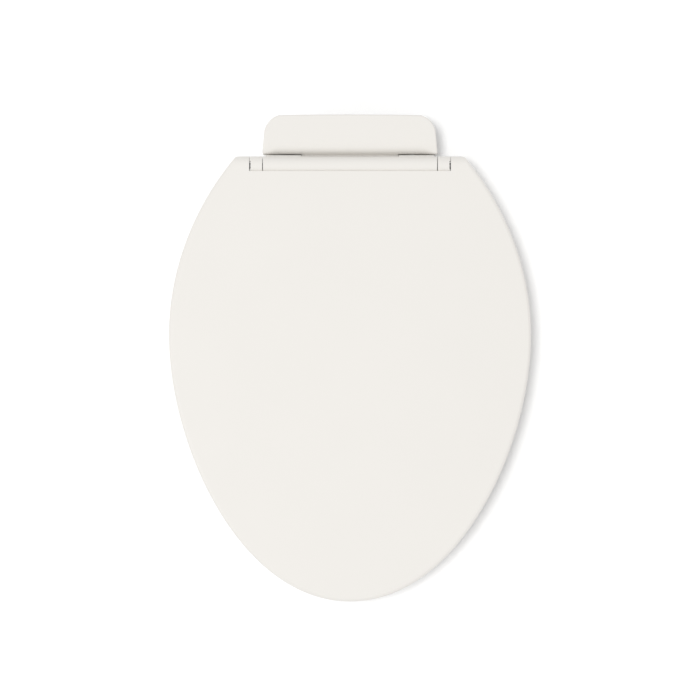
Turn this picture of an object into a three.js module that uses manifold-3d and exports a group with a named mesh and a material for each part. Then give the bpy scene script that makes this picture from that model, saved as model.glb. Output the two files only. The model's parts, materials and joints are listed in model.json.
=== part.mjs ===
// An electric bidet seat for an elongated toilet bowl, lid and seat closed.
//
// Millimetres. The origin is on the face that rests on the bowl, midway between the two fixing
// bolts. +Z is up, -Y is the front of the bowl and +Y is the cistern side.
//
// The mounting plate is bolted to the bowl. The chassis slides on to it from the front and holds
// the hinge barrel, the electronics, the water path and the spray wand. The seat hinges on the
// chassis, and the lid hinges on the same axis.
import * as THREE from "three";
import { mergeVertices } from "three/addons/utils/BufferGeometryUtils.js";
import Module from "manifold-3d";

const wasm = await Module();
wasm.setup();

// ---- Driving dimensions ---------------------------------------------------------------------

const BOLT_X = 70; // half of the 140 mm between fixing bolts
const BOLT_R = 3.9;
const GAP = 0.3; // kept between pieces that touch or run in each other

const HINGE = { y: -31.3, z: 40.5, r: 9.5 }; // seat and lid turn about this line, along X
const BARREL_X = 87.2; // half length of the fixed barrel
const KNUCKLE_X = [87.8, 99.6]; // the seat's hinge knuckles
const EAR_X = 100.6; // the lid's hinge ears start here

// The lid's plan, half of it: tip, widest point and rear corner, joined by two Bezier curves.
const PLAN = {
  tip: [0, -468.3],
  tipPull: 111,
  wide: [181.8, -201],
  widePullFront: 109,
  widePullRear: 91.6,
  corner: [114.7, -22],
  cornerPull: [19.5, -22.2],
};
const LID = { top: 50, skirt: 34, wall: 3, edge: 5, crown: 1.2, corner: 9 };
const SEAT = { inset: 5, bottom: 10, top: 33, split: 20, wall: 2.6, rear: -44 };
const OPENING = { y: -262, halfWidth: 112, front: 150, rear: 148, power: 2.2 };
const BAY = { x: 87.4, front: -84 }; // the seat leaves this room for the chassis

const BODY = { x: 85.5, front: -82.5, rear: 20.5, split: 14, wall: 2.2, frontTop: 38 };
const HOUSING = { x: 87, front: -19.5, top: 39.5, corner: 20.5, taper: 2 };
const POCKET = { x: 80.6, top: 9.6, front: -28 }; // the chassis's room for the plate
const PLATE = { x: 80, neckX: 76, front: -26, rear: 14, top: 9, flange: 4.6 };
const POD = { x: 34, front: -103, bottom: -8, top: 14.6, roof: -96.5, room: 5, reach: -125 };
const GUARD = {
  y: -100,
  z: 8.5,
  width: 31.4,
  notch: 13.2,
  arch: 10.2,
  bottom: -5.2,
  top: 12.8,
  hub: 3,
  pin: 1.5,
};

// The spray wand slides down and forwards in a frame of its own: -Y is out, and +Z is across it.
const WAND = { y: -84, z: 6.6, tilt: (12 * Math.PI) / 180, r: 6, front: -16, back: 88 };
const GEAR = {
  module: 1,
  teeth: 12,
  y: 18.5,
  root: 4.75,
  tip: 6.85,
  pressure: (20 * Math.PI) / 180,
  slack: 0.2,
  halfFace: 2.5,
  spindle: 1.5,
};
const RACK = { root: 8, tip: 9.9, halfHeight: 2.7, teeth: 22 };
const FEED = { r: 2.2, bore: 1.4, from: 12, to: 94.5 }; // the fixed tube the wand slides over
const WAND_SLOT = [-8, 12]; // in X, what the chassis leaves open for the wand and its rack

const BUTTON_Z = 26;
const BUTTONS = [
  { name: "power_button", y: -11.4, face: -86.5 },
  { name: "stop_button", y: 0.6, face: -85.4 },
];
const BUTTON = { r: 4.4, collar: 5.6, stem: 2.2, back: -80.5, end: -77.2, hole: 4.8 };
const RELEASE = { y: [-12, 2], z: [5, 9], face: 86 };

const WATER = { x: 63, z: 22, r: 7, socket: 4.6 };
const POWER = { x: -58, z: 22, r: 6, socket: 3.2 };
const SOCKET_FACE = 20.2; // both sockets end here, just inside the back of the housing
const FLOW_BOX = { x: [32, 72], y: [-76, -48], z: [4, 28] }; // the instant water heater
const POWER_BOX = { x: [-72, -28], y: [-76, -48], z: [4, 29] }; // the potted power supply
const VALVE = { x: [50, 76], y: [-12, 3], z: [13, 23], centre: [63, -4.5], r: 2.4 };
const COIL = { r: 6.8, top: 33, yokeX: [54.5, 71.5], yokeY: [-9, 0] };

// ---- Materials ------------------------------------------------------------------------------

function finish(color, roughness, metalness = 0) {
  return new THREE.MeshStandardMaterial({ color, roughness, metalness });
}

const WHITE = finish(0xf1eee8, 0.3);
const INNER_WHITE = finish(0xe6e2da, 0.45);
const GREY_PLASTIC = finish(0x8f9192, 0.5);
const BLACK_PLASTIC = finish(0x222324, 0.45);
const RUBBER = finish(0xb9b8b3, 0.8);
const DARK_RUBBER = finish(0x2b2b2b, 0.85);
const STEEL = finish(0xb8babb, 0.3, 1);
const BRASS = finish(0xb5974f, 0.35, 1);
const COPPER = finish(0xb06a3a, 0.4, 1);
const BOARD_GREEN = finish(0x1d5a3a, 0.5);
const FOIL = finish(0xc9cbcc, 0.35, 1);
const HOSE = finish(0xd9dbd6, 0.4);

// ---- Solids ---------------------------------------------------------------------------------

// A closed geometry as a manifold-3d solid, with its faces turned out.
function solid(geometry) {
  const bare = geometry.index ? geometry.toNonIndexed() : geometry.clone();
  bare.deleteAttribute("normal");
  bare.deleteAttribute("uv");
  const merged = mergeVertices(bare, 1e-4);
  const build = (triVerts) =>
    new wasm.Manifold(
      new wasm.Mesh({ numProp: 3, vertProperties: merged.attributes.position.array, triVerts }),
    );
  const triangles = new Uint32Array(merged.index.array);
  const made = build(triangles);
  return made.volume() >= 0 ? made : build(triangles.reverse());
}

function box(x, y, z) {
  const g = new THREE.BoxGeometry(x[1] - x[0], y[1] - y[0], z[1] - z[0]);
  return solid(g.translate((x[0] + x[1]) / 2, (y[0] + y[1]) / 2, (z[0] + z[1]) / 2));
}

// A round bar along an axis, from a to b. at gives its centre on the other two axes, in X, Y, Z
// order, and endRadius makes it a cone.
function rod(axis, radius, [a, b], at, sides = 24, endRadius = radius) {
  const g = new THREE.CylinderGeometry(endRadius, radius, b - a, sides);
  const middle = (a + b) / 2;
  if (axis === "x") return solid(g.rotateZ(-Math.PI / 2).translate(middle, at[0], at[1]));
  if (axis === "y") return solid(g.translate(at[0], middle, at[1]));
  return solid(g.rotateX(Math.PI / 2).translate(at[0], at[1], middle));
}

// A flat outline in X and Y, raised from one height to another.
function prism(points, [z0, z1]) {
  const shape = new THREE.Shape(points.map(([x, y]) => new THREE.Vector2(x, y)));
  const g = new THREE.ExtrudeGeometry(shape, { depth: z1 - z0, bevelEnabled: false });
  return solid(g.translate(0, 0, z0));
}

// An outline in Y and Z, run along X from one place to another.
function section(points, [x0, x1]) {
  const shape = new THREE.Shape(points.map(([y, z]) => new THREE.Vector2(y, z)));
  const g = new THREE.ExtrudeGeometry(shape, { depth: x1 - x0, bevelEnabled: false });
  const turn = new THREE.Matrix4().set(0, 0, 1, x0, 1, 0, 0, 0, 0, 1, 0, 0, 0, 0, 0, 1);
  return solid(g.applyMatrix4(turn));
}

// A tube with a round or polygonal section that follows points, with a step every few millimetres.
function tube(points, radius, steps, sides = 8) {
  const curve = new THREE.CatmullRomCurve3(points.map((p) => new THREE.Vector3(...p)));
  const shape = new THREE.Shape();
  shape.absarc(0, 0, radius, 0, 2 * Math.PI, false);
  const options = { steps, curveSegments: sides, extrudePath: curve, bevelEnabled: false };
  return solid(new THREE.ExtrudeGeometry(shape, options));
}

// A skin over loops that all have the same number of points. It closes on itself, or ends in caps.
function skin(loops, closesOnItself) {
  const n = loops[0].length;
  const at = loops.flat(2);
  const faces = [];
  const bands = closesOnItself ? loops.length : loops.length - 1;
  for (let i = 0; i < bands; i++) {
    const a = i * n;
    const b = ((i + 1) % loops.length) * n;
    for (let j = 0; j < n; j++) {
      const k = (j + 1) % n;
      faces.push(a + j, a + k, b + k, a + j, b + k, b + j);
    }
  }
  if (!closesOnItself) {
    for (const [loop, flip] of [[0, true], [loops.length - 1, false]]) {
      const centre = at.length / 3;
      const mean = (axis) => loops[loop].reduce((sum, p) => sum + p[axis], 0) / n;
      at.push(mean(0), mean(1), mean(2));
      for (let j = 0; j < n; j++) {
        const edge = [loop * n + j, loop * n + ((j + 1) % n)];
        faces.push(...(flip ? edge.reverse() : edge), centre);
      }
    }
  }
  const g = new THREE.BufferGeometry();
  g.setAttribute("position", new THREE.Float32BufferAttribute(at, 3));
  g.setIndex(faces);
  return solid(g);
}

function union(...parts) {
  return parts.reduce((a, b) => a.add(b));
}

function cut(from, ...parts) {
  return parts.reduce((a, b) => a.subtract(b), from);
}

// Both of a pair: the solid made for side +1 (at +X) and for side -1.
function bothSides(make) {
  return union(make(1), make(-1));
}

// A span along X at the +X side, or its mirror image.
function onSide(side, [a, b]) {
  return side > 0 ? [a, b] : [-b, -a];
}

const seat = new THREE.Group();

function part(name, made, material, parent = seat) {
  const { vertProperties, triVerts } = made.getMesh();
  const g = new THREE.BufferGeometry();
  g.setAttribute("position", new THREE.BufferAttribute(new Float32Array(vertProperties), 3));
  g.setIndex(new THREE.BufferAttribute(new Uint32Array(triVerts), 1));
  g.computeVertexNormals();
  const mesh = new THREE.Mesh(g, material);
  mesh.name = name;
  parent.add(mesh);
  return mesh;
}

// ---- The plan shared by lid and seat --------------------------------------------------------

// The lid's plan as one closed loop. Behind the hinge it runs straight on, and is cut off later.
function planLoop() {
  const v = (x, y) => new THREE.Vector2(x, y);
  const p = PLAN;
  const rear = new THREE.CubicBezierCurve(
    v(...p.corner),
    v(p.corner[0] + p.cornerPull[0], p.corner[1] + p.cornerPull[1]),
    v(p.wide[0], p.wide[1] + p.widePullRear),
    v(...p.wide),
  );
  const front = new THREE.CubicBezierCurve(
    v(...p.wide),
    v(p.wide[0], p.wide[1] - p.widePullFront),
    v(p.tipPull, p.tip[1]),
    v(...p.tip),
  );
  const extra = 14; // how far the sides run on behind the corner
  const run = (extra * p.cornerPull[0]) / p.cornerPull[1];
  const right = [
    v(50, p.corner[1] + extra),
    v(p.corner[0] + run, p.corner[1] + extra),
    ...rear.getSpacedPoints(9),
    ...front.getSpacedPoints(16).slice(1),
  ];
  const left = right.slice(0, -1).reverse().map((q) => v(-q.x, q.y));
  return [...right, ...left].map((q) => [q.x, q.y]);
}

const PLAN_LOOP = planLoop();

// The loop moved inwards by a distance, at one height. It runs clockwise from above.
function inset(loop, distance, z) {
  const n = loop.length;
  return loop.map(([x, y], i) => {
    const [ax, ay] = loop[(i + n - 1) % n];
    const [bx, by] = loop[(i + 1) % n];
    const length = Math.hypot(bx - ax, by - ay);
    return [x + ((by - ay) / length) * distance, y - ((bx - ax) / length) * distance, z];
  });
}

// The seat's opening at the same directions as the plan's points, moved outwards by a distance.
function openingLoop(distance, z) {
  const o = OPENING;
  return PLAN_LOOP.map(([x, y]) => {
    const angle = Math.atan2(y - o.y, x);
    const c = Math.abs(Math.cos(angle)) / (o.halfWidth + distance);
    const s = Math.abs(Math.sin(angle)) / ((y > o.y ? o.rear : o.front) + distance);
    const r = (c ** o.power + s ** o.power) ** (-1 / o.power);
    return [r * Math.cos(angle), o.y + r * Math.sin(angle), z];
  });
}

function between(a, b, share, z) {
  return a.map(([x, y], i) => [x + (b[i][0] - x) * share, y + (b[i][1] - y) * share, z]);
}

// ---- Fixing: plate, bolts, adjusters, rubber cones and wing nuts ----------------------------

const SLOT = { r: 4.5, travel: 8, recessX: 8.4, recessY: 12, recessZ: 5 };
const PLATE_POCKET = { x: [22, 52], margin: 6, floor: 3 };
const ADJUSTER = { half: 8, z: [5.3, 6.4] };
const BOLT = { head: 7.6, headZ: [6.7, 8.9], end: -60, chamfer: 1.5 };
const CONE = { collar: 9.5, collarZ: [-29, -25], foot: 8, tip: 6, top: -9 };
const WING_NUT = { hub: 7.5, hubZ: [-43, -31], flange: 10.5, flangeZ: [-32, -29.3] };
const WINGS = { x: 17, y: 2, z: [-44, -33] };

function mountingPlate() {
  const p = PLATE;
  const above = p.top + 1;
  const base = box([-p.neckX, p.neckX], [p.front, p.rear], [0, p.top]);
  const flange = box([-p.x, p.x], [p.front, p.rear], [p.flange, p.top]);
  const slots = bothSides((side) => {
    const x = side * BOLT_X;
    const t = SLOT.travel;
    const recess = [x - SLOT.recessX, x + SLOT.recessX];
    return union(
      box([x - SLOT.r, x + SLOT.r], [-t, t], [-1, p.top]),
      rod("z", SLOT.r, [-1, p.top], [x, t], 16),
      rod("z", SLOT.r, [-1, p.top], [x, -t], 16),
      box(recess, [-SLOT.recessY, SLOT.recessY], [SLOT.recessZ, above]),
    );
  });
  const notchY = [RELEASE.y[0] - 2, RELEASE.y[1] + 2];
  const pressNotch = box([p.neckX - 0.5, p.x + 1], notchY, [p.flange - 1, above]);
  const pocketY = [p.front + PLATE_POCKET.margin, p.rear - PLATE_POCKET.margin];
  const pockets = bothSides((side) =>
    box(onSide(side, PLATE_POCKET.x), pocketY, [PLATE_POCKET.floor, above]),
  );
  return cut(union(base, flange), slots, pressNotch, pockets);
}

function adjuster(x) {
  const h = ADJUSTER.half;
  const hole = rod("z", BOLT_R + GAP, [0, PLATE.top + 1], [x, 0], 16);
  return cut(box([x - h, x + h], [-h, h], ADJUSTER.z), hole);
}

function bolt(x) {
  const b = BOLT;
  return union(
    rod("z", b.head, b.headZ, [x, 0], 6),
    rod("z", BOLT_R, [b.end, b.headZ[0] + GAP], [x, 0], 16),
    rod("z", BOLT_R - 1, [b.end - b.chamfer, b.end], [x, 0], 16, BOLT_R),
  );
}

function coneBush(x) {
  const collar = rod("z", CONE.collar, CONE.collarZ, [x, 0], 20);
  const cone = rod("z", CONE.foot, [CONE.collarZ[1] - 0.2, CONE.top], [x, 0], 20, CONE.tip);
  return cut(union(collar, cone), rod("z", BOLT_R + GAP, [BOLT.end, 0], [x, 0], 16));
}

function wingNut(x) {
  const hub = rod("z", WING_NUT.hub, WING_NUT.hubZ, [x, 0], 20);
  const flange = rod("z", WING_NUT.flange, WING_NUT.flangeZ, [x, 0], 20);
  const wings = box([x - WINGS.x, x + WINGS.x], [-WINGS.y, WINGS.y], WINGS.z);
  const bore = rod("z", BOLT_R + GAP, [BOLT.end, CONE.collarZ[1]], [x, 0], 16);
  return cut(union(hub, flange, wings), bore);
}

part("mounting_plate", mountingPlate(), GREY_PLASTIC);
for (const [side, x] of [["left", -BOLT_X], ["right", BOLT_X]]) {
  part(`adjuster_${side}`, adjuster(x), STEEL);
  part(`fixing_bolt_${side}`, bolt(x), STEEL);
  part(`cone_bush_${side}`, coneBush(x), DARK_RUBBER);
  part(`wing_nut_${side}`, wingNut(x), GREY_PLASTIC);
}

// ---- Chassis shells -------------------------------------------------------------------------

// The plan of the chassis, moved inwards by a distance: straight sides that taper a little
// towards the rear, and round rear corners.
function bodyPlan(distance, halfWidth, front) {
  const x = halfWidth - distance;
  const rear = BODY.rear - distance;
  const r = HOUSING.corner - distance;
  const narrow = x - HOUSING.taper;
  const corner = [];
  for (let i = 0; i <= 6; i++) {
    const a = (i / 6) * (Math.PI / 2);
    corner.push([narrow - r + r * Math.cos(a), rear - r + r * Math.sin(a)]);
  }
  const right = [[x, front], [x, HOUSING.front], ...corner];
  return [...right, ...right.slice().reverse().map(([px, py]) => [-px, py])];
}

const SCREWS = [
  [-78, -74],
  [78, -74],
  [-78, -37],
  [78, -37],
];
const SCREW = { r: 1.6, clearance: 2, pilot: 1.9, head: 3, headZ: [1.3, 3.2], top: 22 };
const BOSS = { r: 4, top: 34.5, hole: 24 };
const TRAY = { floor: 1, margin: 0.4, ledge: 0.6 }; // the ledge is where the covers sit down in it
const POD_HEEL = { y: -84, top: -60 }; // the slope from the pod up to the tray's floor
const COVER = { foot: BODY.split + GAP, reach: 2 }; // the covers' inside runs on below their foot
const FRONT_COVER = { rear: -42.8, radius: 9, drop: 2, gapX: 78, gapTop: 30, wandTop: 16 };
const SADDLE = { x: 84, legX: 70, ahead: 9.2, behind: 8.6, top: 5, webX: 30 };
const NECK = { x: 48.5, top: 32.5, bottom: 29 };
const LIP = { x: [49, SADDLE.x], rear: -21, top: 38.3 }; // ledges behind the barrel, beside the neck
const HOSE_GAP = { x: [58, 68], top: 28 };
const DAMPER_BORE = 7;

// The tray that everything else in the chassis stands on.
function lowerCase() {
  const b = BODY;
  const w = b.wall;
  const { floor, margin } = TRAY;
  const above = b.split + 1;
  const rear = b.rear - 2;
  const tray = prism(bodyPlan(margin, b.x, b.front), [floor, b.split]);
  const hollow = union(
    box([-b.x + w, b.x - w], [b.front + w, POCKET.front - w], [floor + w, above]),
    prism(bodyPlan(w + margin, b.x, POCKET.front - w - 1), [POCKET.top + w, above]),
  );
  const platePocket = box([-POCKET.x, POCKET.x], [POCKET.front, rear + 20], [-1, POCKET.top]);
  const railTop = PLATE.flange - TRAY.ledge;
  const rails = bothSides((side) =>
    box(onSide(side, [PLATE.neckX + 0.6, POCKET.x + 1]), [POCKET.front, rear - 16], [floor, railTop]),
  );
  const grow = ([low, high]) => [low - 0.4, high + 0.4];
  const releaseHole = box([POCKET.x - 1, b.x + 2], grow(RELEASE.y), grow(RELEASE.z));
  const bosses = SCREWS.map((at) => rod("z", BOSS.r, [floor, b.split - GAP], at, 16));
  const screwHoles = SCREWS.map((at) =>
    union(
      rod("z", SCREW.clearance, [0, above], at, 16),
      rod("z", SCREW.head + 0.4, [0, SCREW.headZ[1] + 0.4], at, 16),
    ),
  );

  const pod = section(
    [
      [POD.front, POD.bottom],
      [POD.front, POD.top],
      [b.front - GAP, POD.top],
      [b.front - GAP, b.split - TRAY.ledge],
      [b.front + 0.5, b.split - TRAY.ledge],
      [b.front + 0.5, floor + w],
      [POD_HEEL.top, floor + w],
      [POD_HEEL.top, floor],
      [POD_HEEL.y, POD.bottom],
    ],
    [-POD.x, POD.x],
  );
  const podHollow = section(
    [
      [POD.front - 1, POD.bottom + w],
      [POD.front - 1, POD.top + 1],
      [POD.roof, POD.top + 1],
      [POD.roof, POD.top - w],
      [b.front + w + 1, POD.top - w],
      [b.front + w + 1, floor + w + 1],
      [POD_HEEL.top - 2, floor + w + 1],
      [POD_HEEL.top - 2, floor + w],
      [POD_HEEL.y - 0.6, POD.bottom + w],
    ],
    [-POD.x + w, POD.x - w],
  );
  const wandHole = box(WAND_SLOT, [b.front - 10, b.front + 4.5], [floor + 2, POD.top + 1.4]);
  const pivotHoles = rod("x", GUARD.pin + GAP, [-POD.x - 1, POD.x + 1], [GUARD.y, GUARD.z], 12);

  const shell = union(cut(tray, hollow, platePocket), rails, pod, ...bosses);
  return cut(shell, podHollow, wandHole, releaseHole, pivotHoles, ...screwHoles);
}

// The cover under the lid, between the seat's two rear arms. Its front edge is round.
function frontCover() {
  const b = BODY;
  const c = FRONT_COVER;
  const profile = (d) => {
    const foot = COVER.foot - (d > 0 ? COVER.reach : 0);
    const top = b.frontTop - d;
    const r = c.radius - d;
    const points = [[c.rear - d, foot], [c.rear - d, top]];
    for (let i = 0; i <= 5; i++) {
      const a = (i / 5) * (Math.PI / 2);
      points.push([b.front + d + r - r * Math.sin(a), top - c.drop - r + r * Math.cos(a)]);
    }
    return [...points, [b.front + d, foot]];
  };
  const x = b.x - TRAY.margin;
  const outer = section(profile(0), [-x, x]);
  const inner = section(profile(b.wall), [-x + b.wall, x - b.wall]);
  const bosses = SCREWS.slice(0, 2).map((at) =>
    cut(rod("z", BOSS.r, [COVER.foot, BOSS.top], at, 16), rod("z", SCREW.pilot, [0, BOSS.hole], at, 12)),
  );
  const rearGap = box([-c.gapX, c.gapX], [c.rear - b.wall - 1, c.rear + 0.8], [0, c.gapTop]);
  const wandHole = box(WAND_SLOT, [b.front - 1.5, b.front + 4.5], [0, c.wandTop]);
  return union(cut(outer, inner, rearGap, wandHole), ...bosses);
}

// The fixed barrel that holds both dampers, the neck behind it and the legs under it.
function hingeBeam() {
  const h = HINGE;
  const at = [h.y, h.z];
  const depth = [h.y - SADDLE.ahead, h.y + SADDLE.behind];
  const barrel = rod("x", h.r, [-BARREL_X, BARREL_X], at, 32);
  const bore = rod("x", DAMPER_BORE, [-BARREL_X - 1, BARREL_X + 1], at, 24);
  const saddle = box([-SADDLE.x, SADDLE.x], depth, [NECK.bottom, h.z - SADDLE.top]);
  const legs = bothSides((side) =>
    box(onSide(side, [SADDLE.legX, SADDLE.x]), depth, [COVER.foot, NECK.bottom + 1]),
  );
  const screwHoles = SCREWS.slice(2).map((screw) => rod("z", SCREW.pilot, [0, BOSS.hole], screw, 12));
  const neck = box([-NECK.x, NECK.x], [h.y + 4, HOUSING.front + 1.9], [NECK.bottom, NECK.top]);
  const lips = bothSides((side) =>
    box(onSide(side, LIP.x), [h.y, LIP.rear], [NECK.bottom, LIP.top]),
  );
  // A solid web between the dampers.
  const core = rod("x", DAMPER_BORE + 0.6, [-SADDLE.webX, SADDLE.webX], at, 24);
  const outside = union(barrel, saddle, legs, neck, lips);
  return cut(union(cut(outside, bore), core), ...screwHoles);
}

// The housing behind the barrel. Its top falls away gently to the front edge.
function rearCover() {
  const h = HOUSING;
  const w = BODY.wall;
  const shape = (d) => {
    const z0 = COVER.foot - (d > 0 ? COVER.reach : 0);
    const top = h.top - d;
    const front = h.front + d;
    const rear = BODY.rear - d;
    const profile = [
      [rear, z0],
      [rear, top - 3],
      [rear - 1, top - 1],
      [rear - 3, top],
      [0, top],
      [-7, top - 0.4],
      [-12, top - 1.2],
      [-16, top - 2.7],
      [front + 0.9, top - 5],
      [front, top - 8],
      [front, z0],
    ];
    const plan = prism(bodyPlan(d, h.x, h.front - 5), [0, h.top + 5]);
    return section(profile, [-h.x - 5, h.x + 5]).intersect(plan);
  };
  const wallSpan = [h.front - 1, h.front + w + 0.5];
  const neckGap = box([-NECK.x - 0.4, NECK.x + 0.4], wallSpan, [0, NECK.top + GAP]);
  const hoseGap = box(HOSE_GAP.x, wallSpan, [0, HOSE_GAP.top]);
  const buttonHoles = BUTTONS.map(({ y }) =>
    rod("x", BUTTON.hole, [-h.x - 2, -h.x + 8], [y, BUTTON_Z], 20),
  );
  const waterHole = rod("y", WATER.r + 0.4, [10, 30], [WATER.x, WATER.z], 24);
  const powerHole = rod("y", POWER.r + 0.4, [10, 30], [POWER.x, POWER.z], 24);
  return cut(shape(0), shape(w), neckGap, hoseGap, ...buttonHoles, waterHole, powerHole);
}

part("lower_case", lowerCase(), WHITE);
part("front_cover", frontCover(), WHITE);
part("hinge_beam", hingeBeam(), WHITE);
part("rear_cover", rearCover(), WHITE);
SCREWS.forEach(([x, y], i) => {
  const shank = [SCREW.headZ[1] - 0.2, SCREW.top];
  const screw = union(
    rod("z", SCREW.head, SCREW.headZ, [x, y], 12),
    rod("z", SCREW.r, shank, [x, y], 12),
  );
  part(`case_screw_${i + 1}`, screw, STEEL);
});

// ---- Hinge: dampers, shafts and bushes ------------------------------------------------------

const SHAFT = { r: 3, x: [62, 112], collar: 4.2, collarX: [84.6, 86.8] };
const DAMPER = { r: 6.6, x: [32, 84] };
const BUSH_R = 5;
const HINGE_AT = [HINGE.y, HINGE.z];

function damper(side) {
  const can = rod("x", DAMPER.r, onSide(side, DAMPER.x), HINGE_AT, 20);
  const bore = onSide(side, [SHAFT.x[0] - 2, DAMPER.x[1] + 6]);
  return cut(can, rod("x", SHAFT.r + GAP, bore, HINGE_AT, 16));
}

function hingeShaft(side) {
  return union(
    rod("x", SHAFT.r, onSide(side, SHAFT.x), HINGE_AT, 16),
    rod("x", SHAFT.collar, onSide(side, SHAFT.collarX), HINGE_AT, 16),
  );
}

function bush(side, span) {
  const ring = rod("x", BUSH_R, onSide(side, span), HINGE_AT, 20);
  const bore = onSide(side, [span[0] - 1, span[1] + 1]);
  return cut(ring, rod("x", SHAFT.r + GAP, bore, HINGE_AT, 16));
}

part("seat_damper", damper(-1), BLACK_PLASTIC);
part("lid_damper", damper(1), BLACK_PLASTIC);
part("seat_hinge_shaft", hingeShaft(-1), STEEL);
part("lid_hinge_shaft", hingeShaft(1), STEEL);
part("lid_ear_bush", bush(-1, [EAR_X + 0.4, SHAFT.x[1]]), BLACK_PLASTIC);
part("seat_knuckle_bush", bush(1, [KNUCKLE_X[0] + 0.2, KNUCKLE_X[1] - 0.2]), BLACK_PLASTIC);

// ---- Seat: top and bottom shells, heating foil and bumpers ----------------------------------

// The seat as a solid ring, every surface moved inwards by a distance.
function seatRing(d) {
  const s = SEAT;
  const edge = (step, z) => inset(PLAN_LOOP, s.inset + step + d, z);
  const hole = (step, z) => openingLoop(step + d, z);
  const outer = edge(9, 0);
  const inner = hole(6, 0);
  return skin(
    [
      edge(2, s.bottom + d),
      edge(0, s.bottom + 3),
      edge(0, s.top - 9),
      edge(2.5, s.top - 3.6 - d * 0.6),
      edge(8, s.top - 0.6 - d),
      between(outer, inner, 0.35, s.top - d),
      between(outer, inner, 0.75, s.top - 1.6 - d),
      hole(4, s.top - 4.5 - d),
      hole(0.6, s.top - 9),
      hole(0, s.bottom + 3),
      hole(2, s.bottom + d),
    ],
    true,
  );
}

// What is taken out of the ring behind and below: the bay for the chassis and room for the pod.
function seatRelief(d) {
  const podX = POD.x + POD.room + d;
  return union(
    box([-BAY.x - d, BAY.x + d], [BAY.front - d, 50], [-5, 60]),
    box([-200, 200], [SEAT.rear - d, 50], [-5, 60]),
    box([-podX, podX], [POD.reach - d, -60], [-5, SEAT.split + d]),
  );
}

function seatShell() {
  const outside = cut(seatRing(0), seatRelief(0));
  const inside = cut(seatRing(SEAT.wall), seatRelief(SEAT.wall));
  return cut(outside, inside);
}

function slab(z0, z1) {
  return box([-250, 250], [-520, 80], [z0, z1]);
}

function seatTop() {
  const h = HINGE;
  const arms = bothSides((side) => {
    const span = onSide(side, KNUCKLE_X);
    const knuckle = rod("x", h.r, span, HINGE_AT, 32);
    const arm = section(
      [
        [h.y + 2, h.z - 8.5],
        [h.y - 6.5, h.z + 5.5],
        [-45, 39],
        [-60, 31],
        [-74, 28.5],
        [-74, SEAT.split + 0.4],
        [-46, SEAT.split + 0.4],
        [-40, 24],
      ],
      onSide(side, [BAY.x + 0.4, KNUCKLE_X[1]]),
    );
    return union(knuckle, arm);
  });
  const shaftBore = bothSides((side) => {
    const radius = side > 0 ? BUSH_R + GAP : SHAFT.r + GAP;
    return rod("x", radius, onSide(side, [80, 105]), HINGE_AT, 20);
  });
  return cut(union(seatShell().intersect(slab(SEAT.split, 60)), arms), shaftBore);
}

const BUMPERS = [
  { name: "seat_bumper_front_left", x: -96, y: -405 },
  { name: "seat_bumper_front_right", x: 96, y: -405 },
  { name: "seat_bumper_rear_left", x: -138, y: -168 },
  { name: "seat_bumper_rear_right", x: 138, y: -168 },
];

const BUMPER = { foot: 8.6, edge: 10, top: 11.5, roll: 1.4, peg: 3, pegTop: 15 };

function seatBottom() {
  const shell = seatShell().intersect(slab(0, SEAT.split - GAP));
  const holeSpan = [SEAT.bottom - 5, SEAT.bottom + 4];
  const pegHoles = BUMPERS.map(({ x, y }) => rod("z", BUMPER.peg + GAP, holeSpan, [x, y], 16));
  return cut(shell, ...pegHoles);
}

function seatBumper(x, y) {
  const b = BUMPER;
  const pad = rod("z", b.edge, [b.roll, SEAT.bottom - GAP], [x, y], 20, b.top);
  const foot = rod("z", b.foot, [0, b.roll], [x, y], 20, b.edge);
  return union(pad, foot, rod("z", b.peg, [SEAT.bottom - 1, b.pegTop], [x, y], 16));
}

const FOIL_BAND = { outer: 16, inner: 22, thickness: 0.6, z: [SEAT.top - 4.8, SEAT.top - 5.8] };

// The heating foil under the top shell: a thin band round the opening, open at the back.
function heaterFoil() {
  const { thickness, z } = FOIL_BAND;
  const outer = (height) => inset(PLAN_LOOP, SEAT.inset + FOIL_BAND.outer, height);
  const inner = (height) => openingLoop(FOIL_BAND.inner, height);
  const band = skin(
    [outer(z[0] - thickness), outer(z[0]), inner(z[1]), inner(z[1] - thickness)],
    true,
  );
  return cut(band, box([-200, 200], [BAY.front - 8, 50], [0, 60]));
}

part("seat_top", seatTop(), WHITE);
part("seat_bottom", seatBottom(), WHITE);
part("seat_heater_foil", heaterFoil(), FOIL);
for (const { name, x, y } of BUMPERS) part(name, seatBumper(x, y), RUBBER);

// ---- Lid ------------------------------------------------------------------------------------

function lidShell() {
  const l = LID;
  const row = (distance, z) => inset(PLAN_LOOP, distance, z);
  const centre = row(0, 0).map(() => [0, -230, 0]);
  const dome = (distance, share, z) => between(row(distance, 0), centre, share, z);
  const outer = [
    row(0, l.skirt),
    row(0.6, l.top - l.edge),
    row(1.6, l.top - 2.1),
    row(3.6, l.top - 0.5),
    row(6.5, l.top),
    dome(6.5, 0.3, l.top + l.crown * 0.6),
    dome(6.5, 0.7, l.top + l.crown),
  ];
  const under = l.top - l.wall;
  const inner = [
    dome(7, 0.7, under + l.crown),
    dome(7, 0.3, under + l.crown * 0.6),
    row(7, under),
    row(l.wall + 0.8, under - 1.6),
    row(l.wall, l.skirt),
  ];
  return skin([...inner, ...outer], false);
}

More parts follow.
